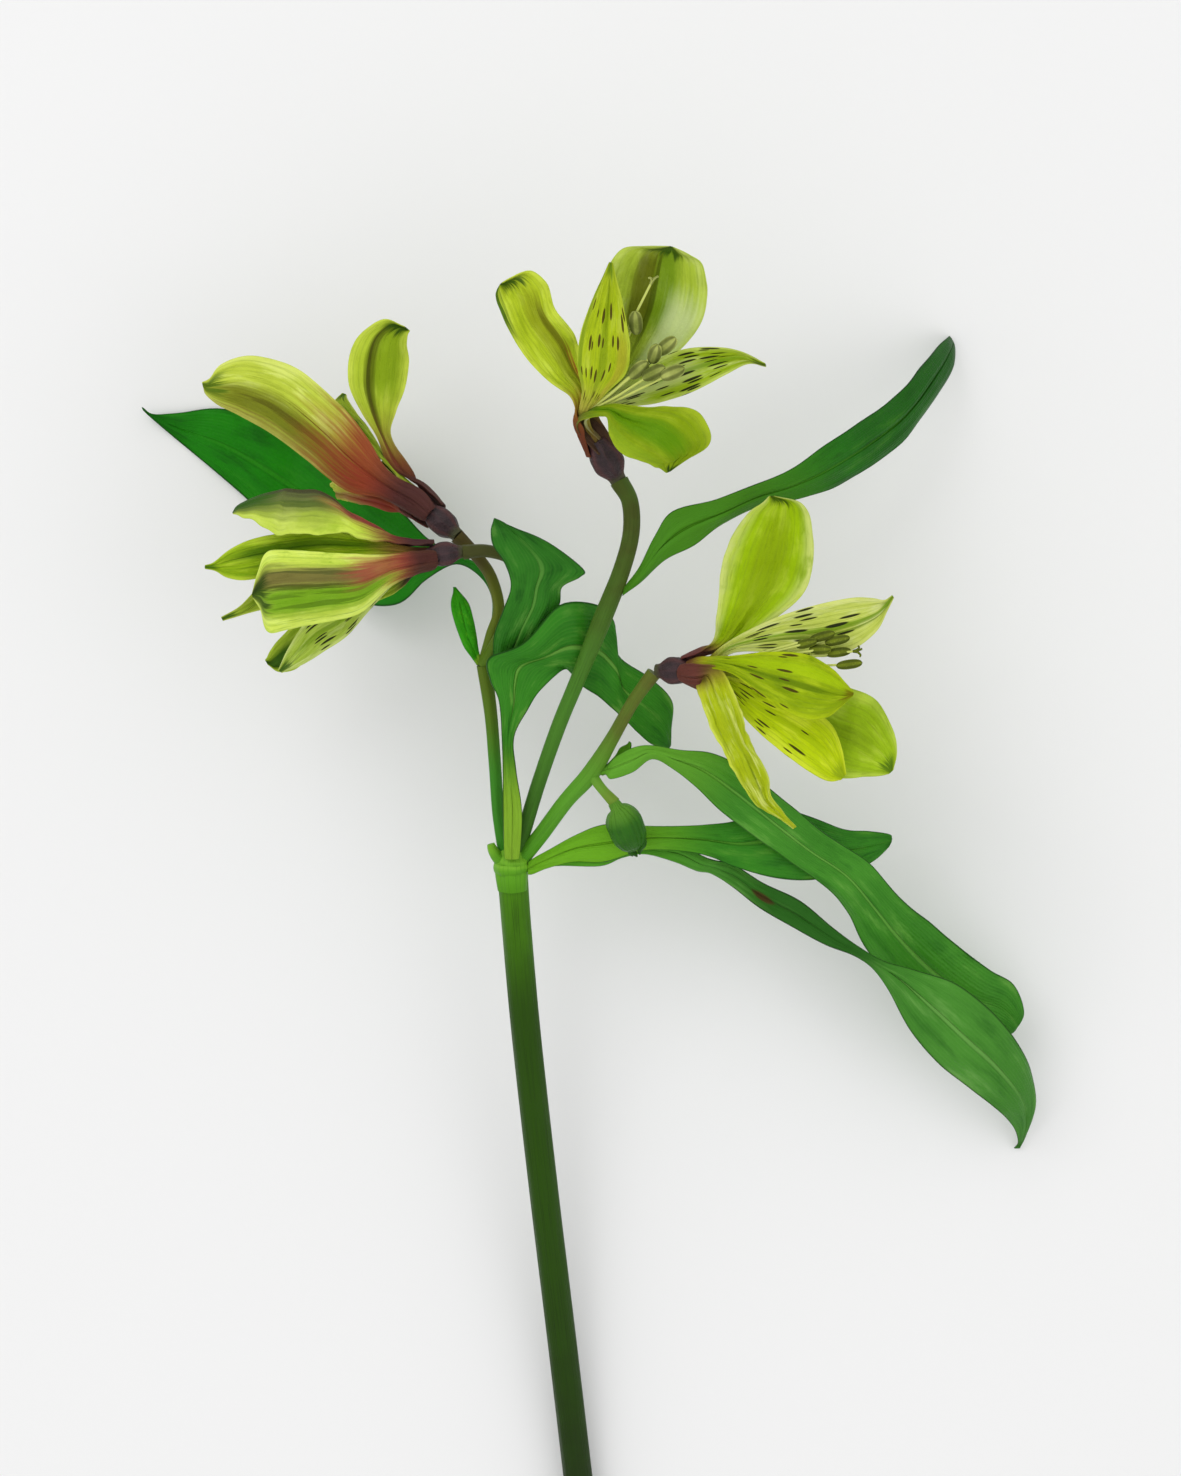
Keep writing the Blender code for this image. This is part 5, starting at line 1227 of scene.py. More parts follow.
def tepal(bloom_name, kind, part, bloom, looks, flare, seed):
    """One tepal with its own finish, from its claw to its tip. flare opens the tube of claws."""
    axis = Vector(bloom["axis"]).normalized()
    top = seen(bloom["ovary_base"]) + axis * bloom["ovary_length"]
    angle, stations = bloom[kind][part]
    ring, width, bulge = CLAWS[kind]
    to_view = (Vector((0, 0, 1)) - axis * axis.z).normalized()
    radial = to_view * cos(radians(angle)) + axis.cross(to_view) * sin(radians(angle))
    across = axis.cross(radial).normalized() * (width / 2)
    foot = top + axis * CLEARANCE + radial * ring
    end = top + axis * bloom["claw_length"] + radial * (ring + flare * bloom["claw_length"])
    wide = across * CLAW_SPREAD
    claw = [(foot - across, foot + across, bulge), (end - wide, end + wide, bulge * CLAW_SPREAD)]
    placed = [(seen(left), seen(right), bulge) for left, right, bulge in stations]
    if (placed[0][1] - placed[0][0]).dot(axis.cross(radial)) < 0:
        claw = [(right, left, bulge) for left, right, bulge in claw]

    # Some petals are wider than their solids where they leave the tube, mostly at the first
    # station and less at the second, because the photograph shows no gaps there.
    more_left, more_right = looks.get("wider", (0.0, 0.0))
    for k, part_of_it in enumerate((1.0, 0.4)):
        left, right, rise = placed[k]
        run_out = (left - right).normalized() * part_of_it
        placed[k] = (left + run_out * more_left, right - run_out * more_right, rise)

    def away_from_axis(place):
        out = Vector(place) - top
        return np.array(out - axis * out.dot(axis))

    name = f"{bloom_name}_{kind}_{part}"
    form = {**TEPAL_FORMS[kind], **looks.get("form", {})}
    piece = blade(name + "_blade", name, claw + placed, away_from_axis,
                  petal_finish(name + "_skin", looks, seed), middle_thickness=0.5, edge_thickness=0.16,
                  rows_each=8, rooted=0.8, phase=len(name) * 0.9 + angle / 40, **form)


# %% [markdown]
# ## Ovary and stamens
#
# Below the tepals sits the ovary, a dark ribbed bulb with six ribs. Six stamens and the style leave
# its top as one bundle and fan out to their places. Each anther is an oblong with a groove along
# it, dusty with pollen, and the style ends in three short curled branches.

# %% Make the ovary
OVARY_PROFILE = [0.5, 0.56, 0.78, 0.96, 1.0, 0.97, 0.86, 0.72, 0.6]
OVARY_START, OVARY_END = -0.1, 1.25  # the bulb enters the stalk below and the claws above
OVARY_SLIMMING = 0.97


def ovary_section(angle, share):
    """Six ribs that die away at both ends, and a little unevenness."""
    return 1.0 + 0.07 * cos(6 * angle) * sin(pi * share) + 0.012 * sin(13 * angle + 9 * share)


def ovary(bloom_name, bloom, finish):
    """A bulb with six ribs that narrows into the foot of the bloom."""
    base = np.array(seen(bloom["ovary_base"]))
    axis = np.array(Vector(bloom["axis"]).normalized())
    length, radius = bloom["ovary_length"], bloom["ovary_radius"]
    line = np.array([base + axis * length * s for s in np.linspace(OVARY_START, OVARY_END, 44)])
    profile = np.array(smooth_values(OVARY_PROFILE, 43, True))
    body = Tubes()
    body.add(line, radius * profile * OVARY_SLIMMING, 48, ovary_section)
    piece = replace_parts(body.piece(bloom_name + "_ovary_bulb", finish), bloom_name + "_ovary")
    report(piece, bloom_name + "_ovary")


def ovary_finish(name):
    """Dark purple skin with paler reddish ribs, small warts and an olive foot."""
    look = Finish(name, "3c2a2e")
    skin = look.effect(mottle, Patch=400.0, Grain=900.0)
    ribs = look.effect(veins, Count=3.0, Sharpness=3.0)
    look.glaze("241c1e", skin["Patches"], 0.7)
    look.glaze("6a3a34", ribs["Lines"], 0.6)
    look.glaze("3f4420", look.near(look.along, 0.02, 0.22), 0.8)
    return look.close(roughness=0.42, relief=skin["Skin"], depth=0.5, specular=0.25)


# %% Make the stamens and the style
ANTHER_LENGTH = 5.2
ANTHER_LEAN = np.array((0.5, 0.15, 0.0))
FILAMENT_RADIUS = 0.32
FILAMENT_ARCH = 0.35
FILAMENT_START = 1.0  # mm inside the foot of the tube
STAMEN_RING = 0.15
STAMENS = 6


def anther_section(angle, share):
    """An oblong with one groove along each side."""
    return 0.95 - 0.08 * cos(2 * angle) - 0.2 * abs(cos(angle)) ** 8


def style_branches(heads, end, tip, out):
    """Three short branches that curl away from the tip of the style."""
    around = np.cross(tip, out)
    for branch in range(3):
        away = out * cos(2 * pi * branch / 3) + around * sin(2 * pi * branch / 3)
        curl = smooth_points([end, end + tip * 0.9 + away * 0.3, end + tip * 1.4 + away * 0.9,
                              end + tip * 1.3 + away * 1.3], 12)
        heads.add(curl, np.linspace(0.3, 0.16, 13), 10)


def stamens(bloom_name, bloom, anthers, anther_radius, nudge, thread_finish, anther_finish):
    """Six filaments with anthers, and last a style with three curled branches."""
    axis = Vector(bloom["axis"]).normalized()
    root = seen(bloom["ovary_base"]) + axis * bloom["ovary_length"] + axis * CLEARANCE
    side = axis.orthogonal().normalized()
    third = axis.cross(side)
    threads, heads = Tubes(), Tubes()
    for k, place in enumerate(anthers):
        is_style = k == STAMENS
        angle = 2 * pi * k / STAMENS
        ring = (side * cos(angle) + third * sin(angle)) * (0.0 if is_style else STAMEN_RING)
        throat = root + axis * bloom["claw_length"] + ring * 2
        end = seen(place) + nudge
        arch = throat.lerp(end, 0.5) + Vector((0, 0, FILAMENT_ARCH))
        path = [root + axis * FILAMENT_START + ring, throat, arch, end]
        line = smooth_points(path, 30)
        threads.add(line, np.linspace(FILAMENT_RADIUS * 1.1, FILAMENT_RADIUS * 0.7, 31), 12)
        tip = unit(line[-1] - smooth_points(path, 4)[-2])
        if is_style:
            style_branches(heads, line[-1], tip, np.array(side))
            continue
        steps = np.linspace(-1.0, 1.0, 25)
        lean = unit(tip + ANTHER_LEAN * (k % 3 - 1))
        anther_line = np.array([line[-1] + lean * s * ANTHER_LENGTH / 2 for s in steps])
        outline = np.sqrt(np.clip(1.0 - np.abs(steps) ** 2.6, 0.0008, 1.0))
        heads.add(anther_line, anther_radius * outline, 28, anther_section)
    thread_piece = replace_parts(
        threads.piece(bloom_name + "_filaments", thread_finish), bloom_name + "_stamens")
    head_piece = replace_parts(heads.piece(bloom_name + "_anthers", anther_finish), bloom_name + "_stamens")
    report(head_piece, bloom_name + "_stamens")


def stamen_finishes(name, olive, dusk):
    """Pale filaments that turn dark red at the foot, and dusty olive anthers."""
    look = Finish(name + "_thread_skin", "c3cc6a")
    look.glaze("4c2426", look.near(look.along, 0.3, 0.42), 0.95)
    threads = look.close(roughness=0.5, relief=look.across, depth=0.05, subsurface=0.1)
    look = Finish(name + "_anther_skin", olive)
    dust = look.effect(mottle, Patch=230.0, Grain=3000.0)
    look.glaze(dusk, dust["Patches"], 0.85)
    look.glaze("a4ae50", look.ramp(dust["Skin"], 0.55, 0.7), 0.25)
    round_it = look.calc("SINE", look.calc("MULTIPLY", look.across, 2 * pi))
    look.glaze("2c3410", look.ramp(look.calc("ABSOLUTE", round_it), 0.55, 1.0), 0.6)
    return threads, look.close(roughness=0.7, relief=dust["Skin"], depth=0.15, specular=0.12)


# %% [markdown]
# ## The four blooms
#
# The two blooms on the left are half closed and show the outsides of their tepals, with an olive
# band down the middle and a red foot that darkens to purple. The other two are open towards the
# camera and show the flecked insides. The looks below are read off the flower one tepal at a time:
# which colour the middle band has, how far the foot colour reaches and where dashes start and end.
# What all outer or all inner tepals of a bloom share stands under outer or inner.

# %% Stations and anthers of the upper left bloom
BLOOM_UPPER_LEFT = {
    "ovary_base": (-11.2, 66.4, 42.0),
    "axis": (-0.71, 0.61, -0.35),
    "ovary_length": 6.5,
    "ovary_radius": 2.7,
    "claw_length": 4.0,
    "outer": {
        "left": (-10.0, (
            ((-24.8, 79.2, 40.6), (-26.4, 73.6, 40.4), 0.4),
            ((-30.0, 87.2, 38.6), (-33.4, 75.2, 38.2), 1.4),
            ((-35.0, 92.8, 36.6), (-40.8, 81.0, 36.4), 2.0),
            ((-43.2, 99.6, 34.6), (-48.0, 86.4, 34.8), 2.2),
            ((-52.0, 102.0, 33.4), (-54.4, 90.0, 33.8), 1.8),
            ((-58.0, 100.4, 33.0), (-58.8, 92.2, 33.2), 1.0),
            ((-60.4, 97.6, 33.0), (-61.2, 94.2, 33.0), 0.4),
            ((-62.0, 96.8, 33.2), (-61.8, 95.8, 33.2), 0.0),
        )),
        "top": (110.0, (
            ((-22.0, 79.2, 38.5), (-20.0, 78.8, 38.2), 0.2),
            ((-26.2, 85.8, 37.0), (-24.2, 85.8, 36.8), 0.3),
            ((-30.0, 90.6, 36.5), (-23.2, 90.8, 36.0), 0.8),
            ((-32.6, 96.2, 36.5), (-21.4, 95.6, 36.0), 1.6),
            ((-32.4, 102.4, 37.0), (-20.6, 100.8, 36.5), 1.8),
            ((-30.0, 106.8, 38.0), (-21.0, 104.2, 37.5), 1.2),
            ((-25.6, 109.4, 39.0), (-20.8, 106.2, 38.5), 0.5),
            ((-21.6, 108.0, 39.5), (-20.4, 107.0, 39.3), 0.0),
        )),
        "away": (230.0, (
            ((-25.4, 73.6, 36.0), (-24.0, 70.8, 35.2), 0.3),
            ((-30.0, 75.2, 33.0), (-28.8, 72.2, 31.0), 0.6),
            ((-34.0, 76.4, 29.0), (-32.0, 72.8, 25.5), 0.8),
            ((-35.8, 76.8, 23.5), (-33.2, 73.2, 18.5), 0.8),
            ((-36.0, 76.6, 17.0), (-33.4, 73.8, 13.5), 0.4),
            ((-35.2, 75.6, 11.5), (-34.4, 74.8, 11.0), 0.0),
        )),
    },
    "inner": {
        "near": (50.0, (
            ((-25.6, 80.8, 38.4), (-23.4, 79.2, 38.2), 0.2),
            ((-30.0, 85.2, 35.6), (-27.2, 85.2, 35.6), 0.4),
            ((-33.4, 88.2, 33.0), (-29.2, 88.2, 33.0), 0.5),
            ((-35.4, 90.8, 31.0), (-31.2, 90.8, 31.0), 0.4),
            ((-35.6, 92.8, 29.0), (-32.8, 93.2, 29.0), 0.2),
            ((-34.0, 94.6, 27.5), (-33.1, 94.2, 27.5), 0.0),
        )),
        "back": (170.0, (
            ((-23.6, 77.8, 33.8), (-22.4, 76.2, 33.4), 0.1),
            ((-29.4, 83.4, 28.8), (-27.8, 80.8, 28.3), 0.4),
            ((-36.0, 88.8, 24.5), (-33.6, 84.8, 23.5), 0.8),
            ((-43.4, 93.6, 20.0), (-41.2, 88.6, 19.0), 0.8),
            ((-48.8, 95.2, 17.5), (-47.6, 92.2, 17.0), 0.4),
            ((-51.8, 96.2, 16.3), (-51.2, 95.4, 16.2), 0.0),
        )),
        "low": (290.0, (
            ((-25.0, 75.8, 37.0), (-24.2, 74.2, 36.6), 0.1),
            ((-31.0, 78.8, 34.4), (-29.8, 76.4, 33.8), 0.4),
            ((-36.6, 82.4, 31.5), (-34.6, 79.0, 30.6), 0.6),
            ((-42.4, 86.8, 29.0), (-40.4, 83.4, 28.3), 0.6),
            ((-46.0, 89.4, 27.5), (-44.8, 87.2, 27.1), 0.3),
            ((-48.8, 91.4, 26.5), (-48.2, 90.6, 26.4), 0.0),
        )),
    },
}
ANTHERS_UPPER_LEFT = (
    (-24.0, 79.6, 35.8),
    (-25.4, 77.8, 34.5),
    (-26.0, 78.4, 37.0),
    (-28.7, 82.8, 35.0),
    (-28.2, 82.2, 32.6),
    (-29.9, 80.8, 33.9),
    (-31.6, 84.2, 32.6),
)

# %% Looks of the upper left bloom
LOOKS_UPPER_LEFT = {
    "outer_left": dict(
        lime="c4d44a", shade="a8b832", light="dce87a", margin="d8e470", vein="7f8f1c", rib="6e7414",
        rib_place=0.7, rib_width=0.62, rib_from=0.15, rib_to=1.0, rib_strength=0.92, base="8e3626",
        base_reach=0.66, foot="33262c", foot_reach=0.3, tip="4a6a0c", streak=0.34,
        bands=(("8a7a34", 0.95, 0.3, 0.3, 1.0, 0.6), ("4a4408", 0.66, 0.07, 0.2, 0.97, 0.6),
               ("5a2a18", 0.5, 0.06, 0.1, 0.6, 0.5))),
    "outer_top": dict(
        lime="b4c838", shade="96ae1c", light="c8d850", margin="c8d850", rib="7f9c10", rib_width=0.75,
        rib_place=0.62, rib_from=0.6, rib_to=1.1, base="743424", base_reach=0.6, foot="3c2428",
        foot_reach=0.34, tip="1f4400", tip_reach=0.1, wider=(2.2, 0.3),
        bands=(("4f5c04", 0.36, 0.24, 0.2, 1.05, 0.9), ("3f3c0c", 0.34, 0.07, 0.2, 1.0, 0.6))),
    "outer_away": dict(
        lime="b8bc40", margin="c8c85a", rib="8a6a34", rib_width=0.5, base="9a3c34", base_reach=0.7,
        foot="3c2828", foot_reach=0.25, tip="4a6a14"),
    "inner": dict(
        margin="c6d458", rib="6a8a14", flecks=0.4, foot="33262c"),
    "inner_near": dict(
        lime="9cb42c", base="6f3a24", base_reach=0.3, foot_reach=0.25),
    "inner_back": dict(
        lime="a4b838", base="6f3a24", base_reach=0.3, foot_reach=0.25),
    "inner_low": dict(
        lime="a4b838", base="9a3c34", base_reach=0.6, foot_reach=0.3),
}

# %% Stations and anthers of the lower left bloom
BLOOM_LOWER_LEFT = {
    "ovary_base": (-10.3, 62.8, 47.6),
    "axis": (-0.985, -0.12, 0.12),
    "ovary_length": 5.5,
    "ovary_radius": 2.5,
    "claw_length": 4.0,
    "outer": {
        "top": (95.0, (
            ((-24.4, 64.6, 50.2), (-24.4, 64.6, 46.2), 1.6),
            ((-32.0, 66.0, 53.0), (-32.0, 66.0, 44.5), 4.0),
            ((-39.6, 66.4, 55.0), (-39.2, 67.6, 43.5), 7.4),
            ((-47.0, 66.2, 56.0), (-46.4, 69.2, 43.5), 7.8),
            ((-51.4, 68.4, 55.0), (-50.8, 70.8, 45.0), 5.0),
            ((-54.4, 70.0, 53.0), (-54.2, 71.6, 48.0), 1.6),
            ((-55.8, 70.4, 51.0), (-55.8, 70.8, 50.0), 0.0),
        )),
        "middle": (-25.0, (
            ((-24.0, 62.4, 52.4), (-24.0, 56.2, 51.4), 0.8),
            ((-31.4, 62.4, 54.4), (-30.4, 50.6, 52.4), 1.8),
            ((-38.4, 62.8, 55.6), (-37.4, 48.8, 53.2), 2.4),
            ((-45.4, 63.2, 56.0), (-44.4, 47.4, 53.6), 2.4),
            ((-49.2, 62.6, 55.8), (-48.8, 46.8, 53.6), 1.8),
            ((-50.8, 58.8, 55.4), (-50.2, 50.8, 54.2), 0.8),
            ((-52.0, 54.6, 54.6), (-51.8, 53.6, 54.6), 0.0),
        )),
        "low": (215.0, (
            ((-24.0, 60.4, 43.0), (-24.0, 54.4, 43.2), 0.6),
            ((-31.4, 58.2, 40.0), (-29.8, 51.4, 40.5), 1.2),
            ((-38.8, 53.2, 37.0), (-34.8, 46.4, 38.0), 1.2),
            ((-44.8, 47.2, 35.0), (-40.0, 42.4, 36.0), 1.0),
            ((-48.0, 43.6, 34.5), (-43.2, 39.4, 35.5), 0.5),
            ((-49.0, 41.8, 34.5), (-46.6, 38.8, 35.0), 0.2),
            ((-49.4, 41.2, 34.6), (-48.8, 40.2, 34.6), 0.0),
        )),
    },
    "inner": {
        "high": (35.0, (
            ((-23.6, 64.4, 49.0), (-23.6, 62.0, 49.8), 0.2),
            ((-29.4, 65.8, 50.0), (-30.0, 61.2, 50.6), 0.5),
            ((-37.4, 67.0, 50.8), (-37.4, 60.2, 51.0), 0.8),
            ((-45.4, 66.6, 51.2), (-45.4, 58.8, 51.4), 0.8),
            ((-52.0, 65.4, 51.4), (-52.8, 57.2, 51.6), 0.6),
            ((-56.4, 63.4, 51.0), (-56.8, 57.6, 51.2), 0.3),
            ((-59.6, 60.8, 50.0), (-59.4, 59.0, 50.2), 0.1),
            ((-61.4, 60.2, 49.5), (-61.4, 59.4, 49.5), 0.0),
        )),
        "flecked": (-85.0, (
            ((-24.0, 58.6, 47.2), (-24.4, 55.6, 46.6), 0.3),
            ((-30.0, 54.8, 45.4), (-28.8, 50.8, 44.6), 0.5),
            ((-35.4, 52.2, 43.8), (-33.0, 46.0, 43.0), 0.6),
            ((-40.8, 49.2, 42.2), (-37.4, 43.0, 41.4), 0.6),
            ((-44.4, 44.2, 40.6), (-41.6, 40.4, 40.2), 0.3),
            ((-46.8, 39.2, 39.4), (-46.0, 38.6, 39.4), 0.0),
        )),
        "thin": (155.0, (
            ((-24.0, 63.4, 45.8), (-24.0, 61.4, 45.0), 0.1),
            ((-32.4, 62.2, 45.2), (-32.4, 58.6, 44.6), 0.4),
            ((-42.4, 60.2, 45.0), (-41.4, 54.8, 44.4), 0.6),
            ((-50.0, 56.2, 45.0), (-48.4, 51.8, 44.6), 0.4),
            ((-54.4, 52.0, 45.4), (-53.2, 50.4, 45.2), 0.1),
            ((-58.2, 49.8, 46.0), (-57.8, 49.0, 46.0), 0.0),
        )),
    },
}
ANTHERS_LOWER_LEFT = (
    (-40.0, 60.0, 48.5),
    (-41.5, 56.5, 48.0),
    (-43.0, 62.5, 48.0),
    (-38.0, 63.0, 46.8),
    (-44.0, 58.5, 47.8),
    (-38.5, 57.0, 49.0),
    (-48.0, 60.5, 48.0),
)

# %% Looks of the lower left bloom
LOOKS_LOWER_LEFT = {
    "outer_top": dict(
        lime="c8e048", shade="a6c434", light="dcee70", margin="cfe45a", margin_width=0.3, rib="5c6638",
        rib_place=0.46, rib_width=1.05, rib_from=0.5, rib_to=1.2, rib_strength=0.95, base="74282a",
        base_reach=0.4, foot="33222a", foot_reach=0.24, tip="2f5a14", tip_reach=0.2, streak=0.25,
        bands=(("8a2c34", 0.48, 0.8, 0.0, 0.55, 0.95), ("3c3828", 0.5, 0.35, 0.45, 1.2, 0.8),
               ("3f5a14", 0.24, 0.08, 0.5, 1.1, 0.5))),
    "outer_middle": dict(
        lime="cade54", shade="8cb01c", light="e0f478", margin="dcf068", rib="6a9c10", rib_place=0.6,
        rib_width=0.55, rib_from=0.28, rib_to=1.0, rib_strength=0.9, base="8c3c30", base_reach=0.36,
        foot="332624", foot_reach=0.22, tip="1f4008", tip_reach=0.1, vein="5f8c10", streak=0.28,
        bands=(("6a5c34", 0.33, 0.4, 0.35, 1.1, 0.9), ("3f5008", 0.45, 0.06, 0.3, 1.0, 0.6),
               ("4c6c0c", 0.56, 0.05, 0.35, 0.95, 0.6), ("4c6c0c", 0.7, 0.05, 0.35, 0.9, 0.6),
               ("3c4c1c", 0.26, 0.05, 0.4, 1.0, 0.5), ("a04a3c", 0.3, 0.7, -0.2, 0.5, 0.85))),
    "outer_low": dict(
        lime="8fb024", margin="b8ce44", rib="5f8a14", base="5a3a2c", base_reach=0.3, foot="33222a",
        foot_reach=0.24, tip="1c4a0c", tip_reach=0.24),
    "inner_high": dict(
        lime="9cbc18", shade="6c9808", light="c0d83c", margin="bcd23c", margin_width=0.3, rib="4c7404",
        rib_place=0.36, base="8a6a30", base_reach=0.34, foot="4a242a", foot_reach=0.16, tip="3f6c08",
        tip_reach=0.06,
        bands=(("2f5404", 0.4, 0.06, 0.3, 1.0, 0.6), ("5c7c08", 0.7, 0.06, 0.3, 0.9, 0.6),
               ("5c7c08", 0.2, 0.05, 0.3, 0.9, 0.6))),
    "inner_flecked": dict(
        lime="b8d054", shade="9aba30", light="d8e88c", margin="d2e284", rib="86a824", rib_width=0.2,
        flecks=0.65, fleck_from=0.3, lanes=11.0, spacing=0.62, fleck_size=0.32, fleck_colour="14120a",
        base="8a7a34", base_reach=0.25, foot="33222a", foot_reach=0.2),
    "inner_thin": dict(
        lime="a6c038", margin="c8d85a", rib="6a8a14", flecks=0.3, base="6a3a28", base_reach=0.3,
        foot="33222a", foot_reach=0.25),
}

# %% Stations and anthers of the top bloom
BLOOM_TOP = {
    "ovary_base": (21.0, 77.6, 52.2),
    "axis": (-0.46, 0.82, 0.30),
    "ovary_length": 7.0,
    "ovary_radius": 3.3,
    "claw_length": 6.5,
    "outer": {
        "left": (-100.0, (
            ((12.0, 93.6, 57.0), (14.6, 94.6, 57.2), 0.3),
            ((7.6, 96.8, 59.0), (13.8, 100.2, 58.4), 0.8),
            ((3.2, 101.2, 60.5), (12.6, 106.2, 59.4), 1.4),
            ((-0.4, 106.8, 62.0), (8.8, 111.2, 61.5), 1.6),
            ((-2.4, 111.2, 63.5), (7.2, 116.2, 63.5), 1.4),
            ((-3.2, 113.8, 64.5), (4.0, 119.0, 65.0), 0.8),
            ((-3.0, 115.2, 65.2), (0.6, 118.0, 65.6), 0.3),
            ((-2.6, 116.0, 65.6), (-1.8, 116.8, 65.8), 0.0),
        )),
        "bottom": (20.0, (
            ((20.0, 92.4, 62.2), (18.4, 90.0, 62.0), 0.2),
            ((25.6, 92.0, 64.6), (19.4, 86.8, 63.6), 0.6),
            ((31.6, 91.8, 66.4), (20.4, 84.2, 65.0), 1.2),
            ((36.6, 91.2, 67.8), (22.4, 82.2, 65.4), 1.4),
            ((39.4, 87.6, 67.8), (25.2, 81.2, 65.4), 1.2),
            ((39.4, 84.6, 66.4), (27.6, 80.4, 64.8), 0.8),
            ((35.6, 81.8, 64.8), (29.2, 79.8, 64.0), 0.3),
            ((32.0, 79.2, 63.2), (30.8, 78.6, 63.2), 0.0),
        )),
        "top": (140.0, (
            ((17.0, 94.2, 55.6), (19.4, 93.4, 56.0), 0.2),
            ((17.6, 99.2, 56.8), (25.6, 97.2, 57.8), 0.8),
            ((18.0, 107.2, 58.8), (32.6, 102.2, 60.4), 1.6),
            ((18.2, 114.2, 61.0), (37.6, 108.2, 62.8), 2.0),
            ((19.2, 119.6, 63.8), (39.0, 114.2, 65.4), 2.0),
            ((22.0, 123.4, 66.0), (38.2, 120.0, 67.5), 1.4),
            ((26.6, 124.0, 67.0), (35.6, 122.2, 68.0), 0.6),
            ((31.2, 124.0, 67.5), (32.4, 123.8, 67.6), 0.0),
        )),
    },
    "inner": {
        "left": (-40.0, (
            ((15.4, 95.0, 61.4), (18.0, 94.6, 61.4), 0.2),
            ((13.6, 100.2, 63.0), (22.6, 98.8, 63.8), 0.6),
            ((13.8, 106.8, 65.2), (23.6, 104.2, 66.2), 0.8),
            ((16.0, 113.2, 67.8), (22.6, 110.8, 68.8), 0.6),
            ((18.0, 117.6, 70.0), (21.2, 116.2, 70.6), 0.2),
            ((19.4, 120.8, 71.4), (20.2, 120.6, 71.4), 0.0),
        )),
        "right": (80.0, (
            ((20.2, 94.4, 59.2), (21.4, 92.6, 59.4), 0.1),
            ((26.6, 99.6, 61.2), (28.6, 93.0, 61.6), 0.5),
            ((33.6, 103.2, 63.8), (36.0, 94.8, 64.0), 0.7),
            ((40.6, 103.8, 66.5), (42.6, 98.2, 66.5), 0.5),
            ((45.6, 103.0, 68.5), (47.2, 100.4, 68.2), 0.2),
            ((50.6, 100.6, 71.0), (50.8, 99.8, 71.0), 0.0),
        )),
        "back": (200.0, (
            ((15.8, 94.2, 57.4), (18.0, 93.6, 57.6), 0.1),
            ((15.2, 100.0, 58.8), (20.6, 99.0, 59.4), 0.3),
            ((16.0, 106.6, 61.0), (21.8, 105.0, 61.8), 0.4),
            ((17.6, 112.6, 63.6), (21.4, 111.4, 64.2), 0.2),
            ((19.2, 116.8, 66.0), (20.2, 116.6, 66.2), 0.0),
        )),
    },
}
ANTHERS_TOP = (
    (29.6, 101.4, 68.0),
    (32.0, 103.0, 68.6),
    (33.2, 97.6, 69.4),
    (25.8, 107.6, 66.6),
    (26.4, 98.2, 66.0),
    (29.4, 97.6, 67.4),
    (28.8, 115.4, 69.4),
)

# %% Looks of the top bloom
LOOKS_TOP = {
    "outer_left": dict(
        lime="bed22c", shade="9eb418", light="d2e450", margin="d0e04c", rib="8a9414", rib_width=0.5,
        rib_strength=0.7, rib_place=0.6, base="8c4a1e", base_reach=0.4, foot="5a2820", foot_reach=0.28,
        tip="1f4a08", tip_reach=0.1, streak=0.28, wider=(0.2, 1.2),
        bands=(("5c5a06", 0.72, 0.16, 0.25, 0.8, 0.75), ("a04020", 0.78, 0.1, 0.2, 0.5, 0.7),
               ("2c5808", 0.04, 0.16, 0.7, 1.2, 0.9))),
    "outer_bottom": dict(
        lime="829c08", shade="628404", light="9cb420", margin="a4b828", rib="568800", rib_width=0.5,
        base="6a5a20", base_reach=0.3, foot="40242a", foot_reach=0.36, tip="204008", tip_reach=0.05,
        bands=(("8aa81c", 0.9, 0.3, 0.3, 1.0, 0.6),)),
    "outer_top": dict(
        lime="aec43c", shade="92aa28", light="c8d870", margin="bcd058", rib="6a8c0c", rib_place=0.56,
        rib_width=0.42, rib_from=0.6, rib_to=1.1, base="8a7a24", base_reach=0.25, foot="4c2024",
        foot_reach=0.25, tip="2c4c06", tip_reach=0.06,
        # The first band, pale d2e0a4 on the right part, is a painted highlight.
        bands=(("d2e0a4", 0.8, 0.5, 0.25, 0.8, 0.7), ("585c08", 0.36, 0.34, 0.55, 1.0, 0.85),
               ("3f4a04", 0.48, 0.07, 0.5, 1.05, 0.6))),
    "inner_left": dict(
        lime="b0c41a", shade="94aa10", light="c4d444", margin="c0d03c", rib="88a00c", rib_width=0.25,
        flecks=0.55, fleck_from=0.28, lanes=11.0, spacing=0.6, fleck_colour="4a3c10", base="c0b84c",
        base_reach=0.45, foot="5a3420", foot_reach=0.22, tip="6a8a14", wider=(1.4, 0.8),
        bands=(("5c7c08", 0.05, 0.12, 0.3, 1.0, 0.6), ("b0a430", 0.85, 0.24, 0.2, 0.7, 0.6))),
    "inner_right": dict(
        lime="a4be20", shade="88a80c", light="ccdc78", margin="c4d464", rib="84a414", rib_width=0.2,
        flecks=0.75, fleck_from=0.26, lanes=12.0, spacing=0.66, fleck_size=0.32, fleck_colour="16140a",
        base="d8dc94", base_reach=0.5, foot="5a3420", foot_reach=0.18, tip="4a6410", wider=(0.6, 1.2),
        bands=(("dce49c", 0.5, 0.6, 0.2, 0.7, 0.5), ("6a8c10", 0.5, 0.1, 0.4, 1.0, 0.6))),
    "inner_back": dict(
        lime="94ac20", margin="b4c648", rib="7a9418", flecks=0.4, base="96542a", base_reach=0.3,
        foot="5a221c", foot_reach=0.22),
}

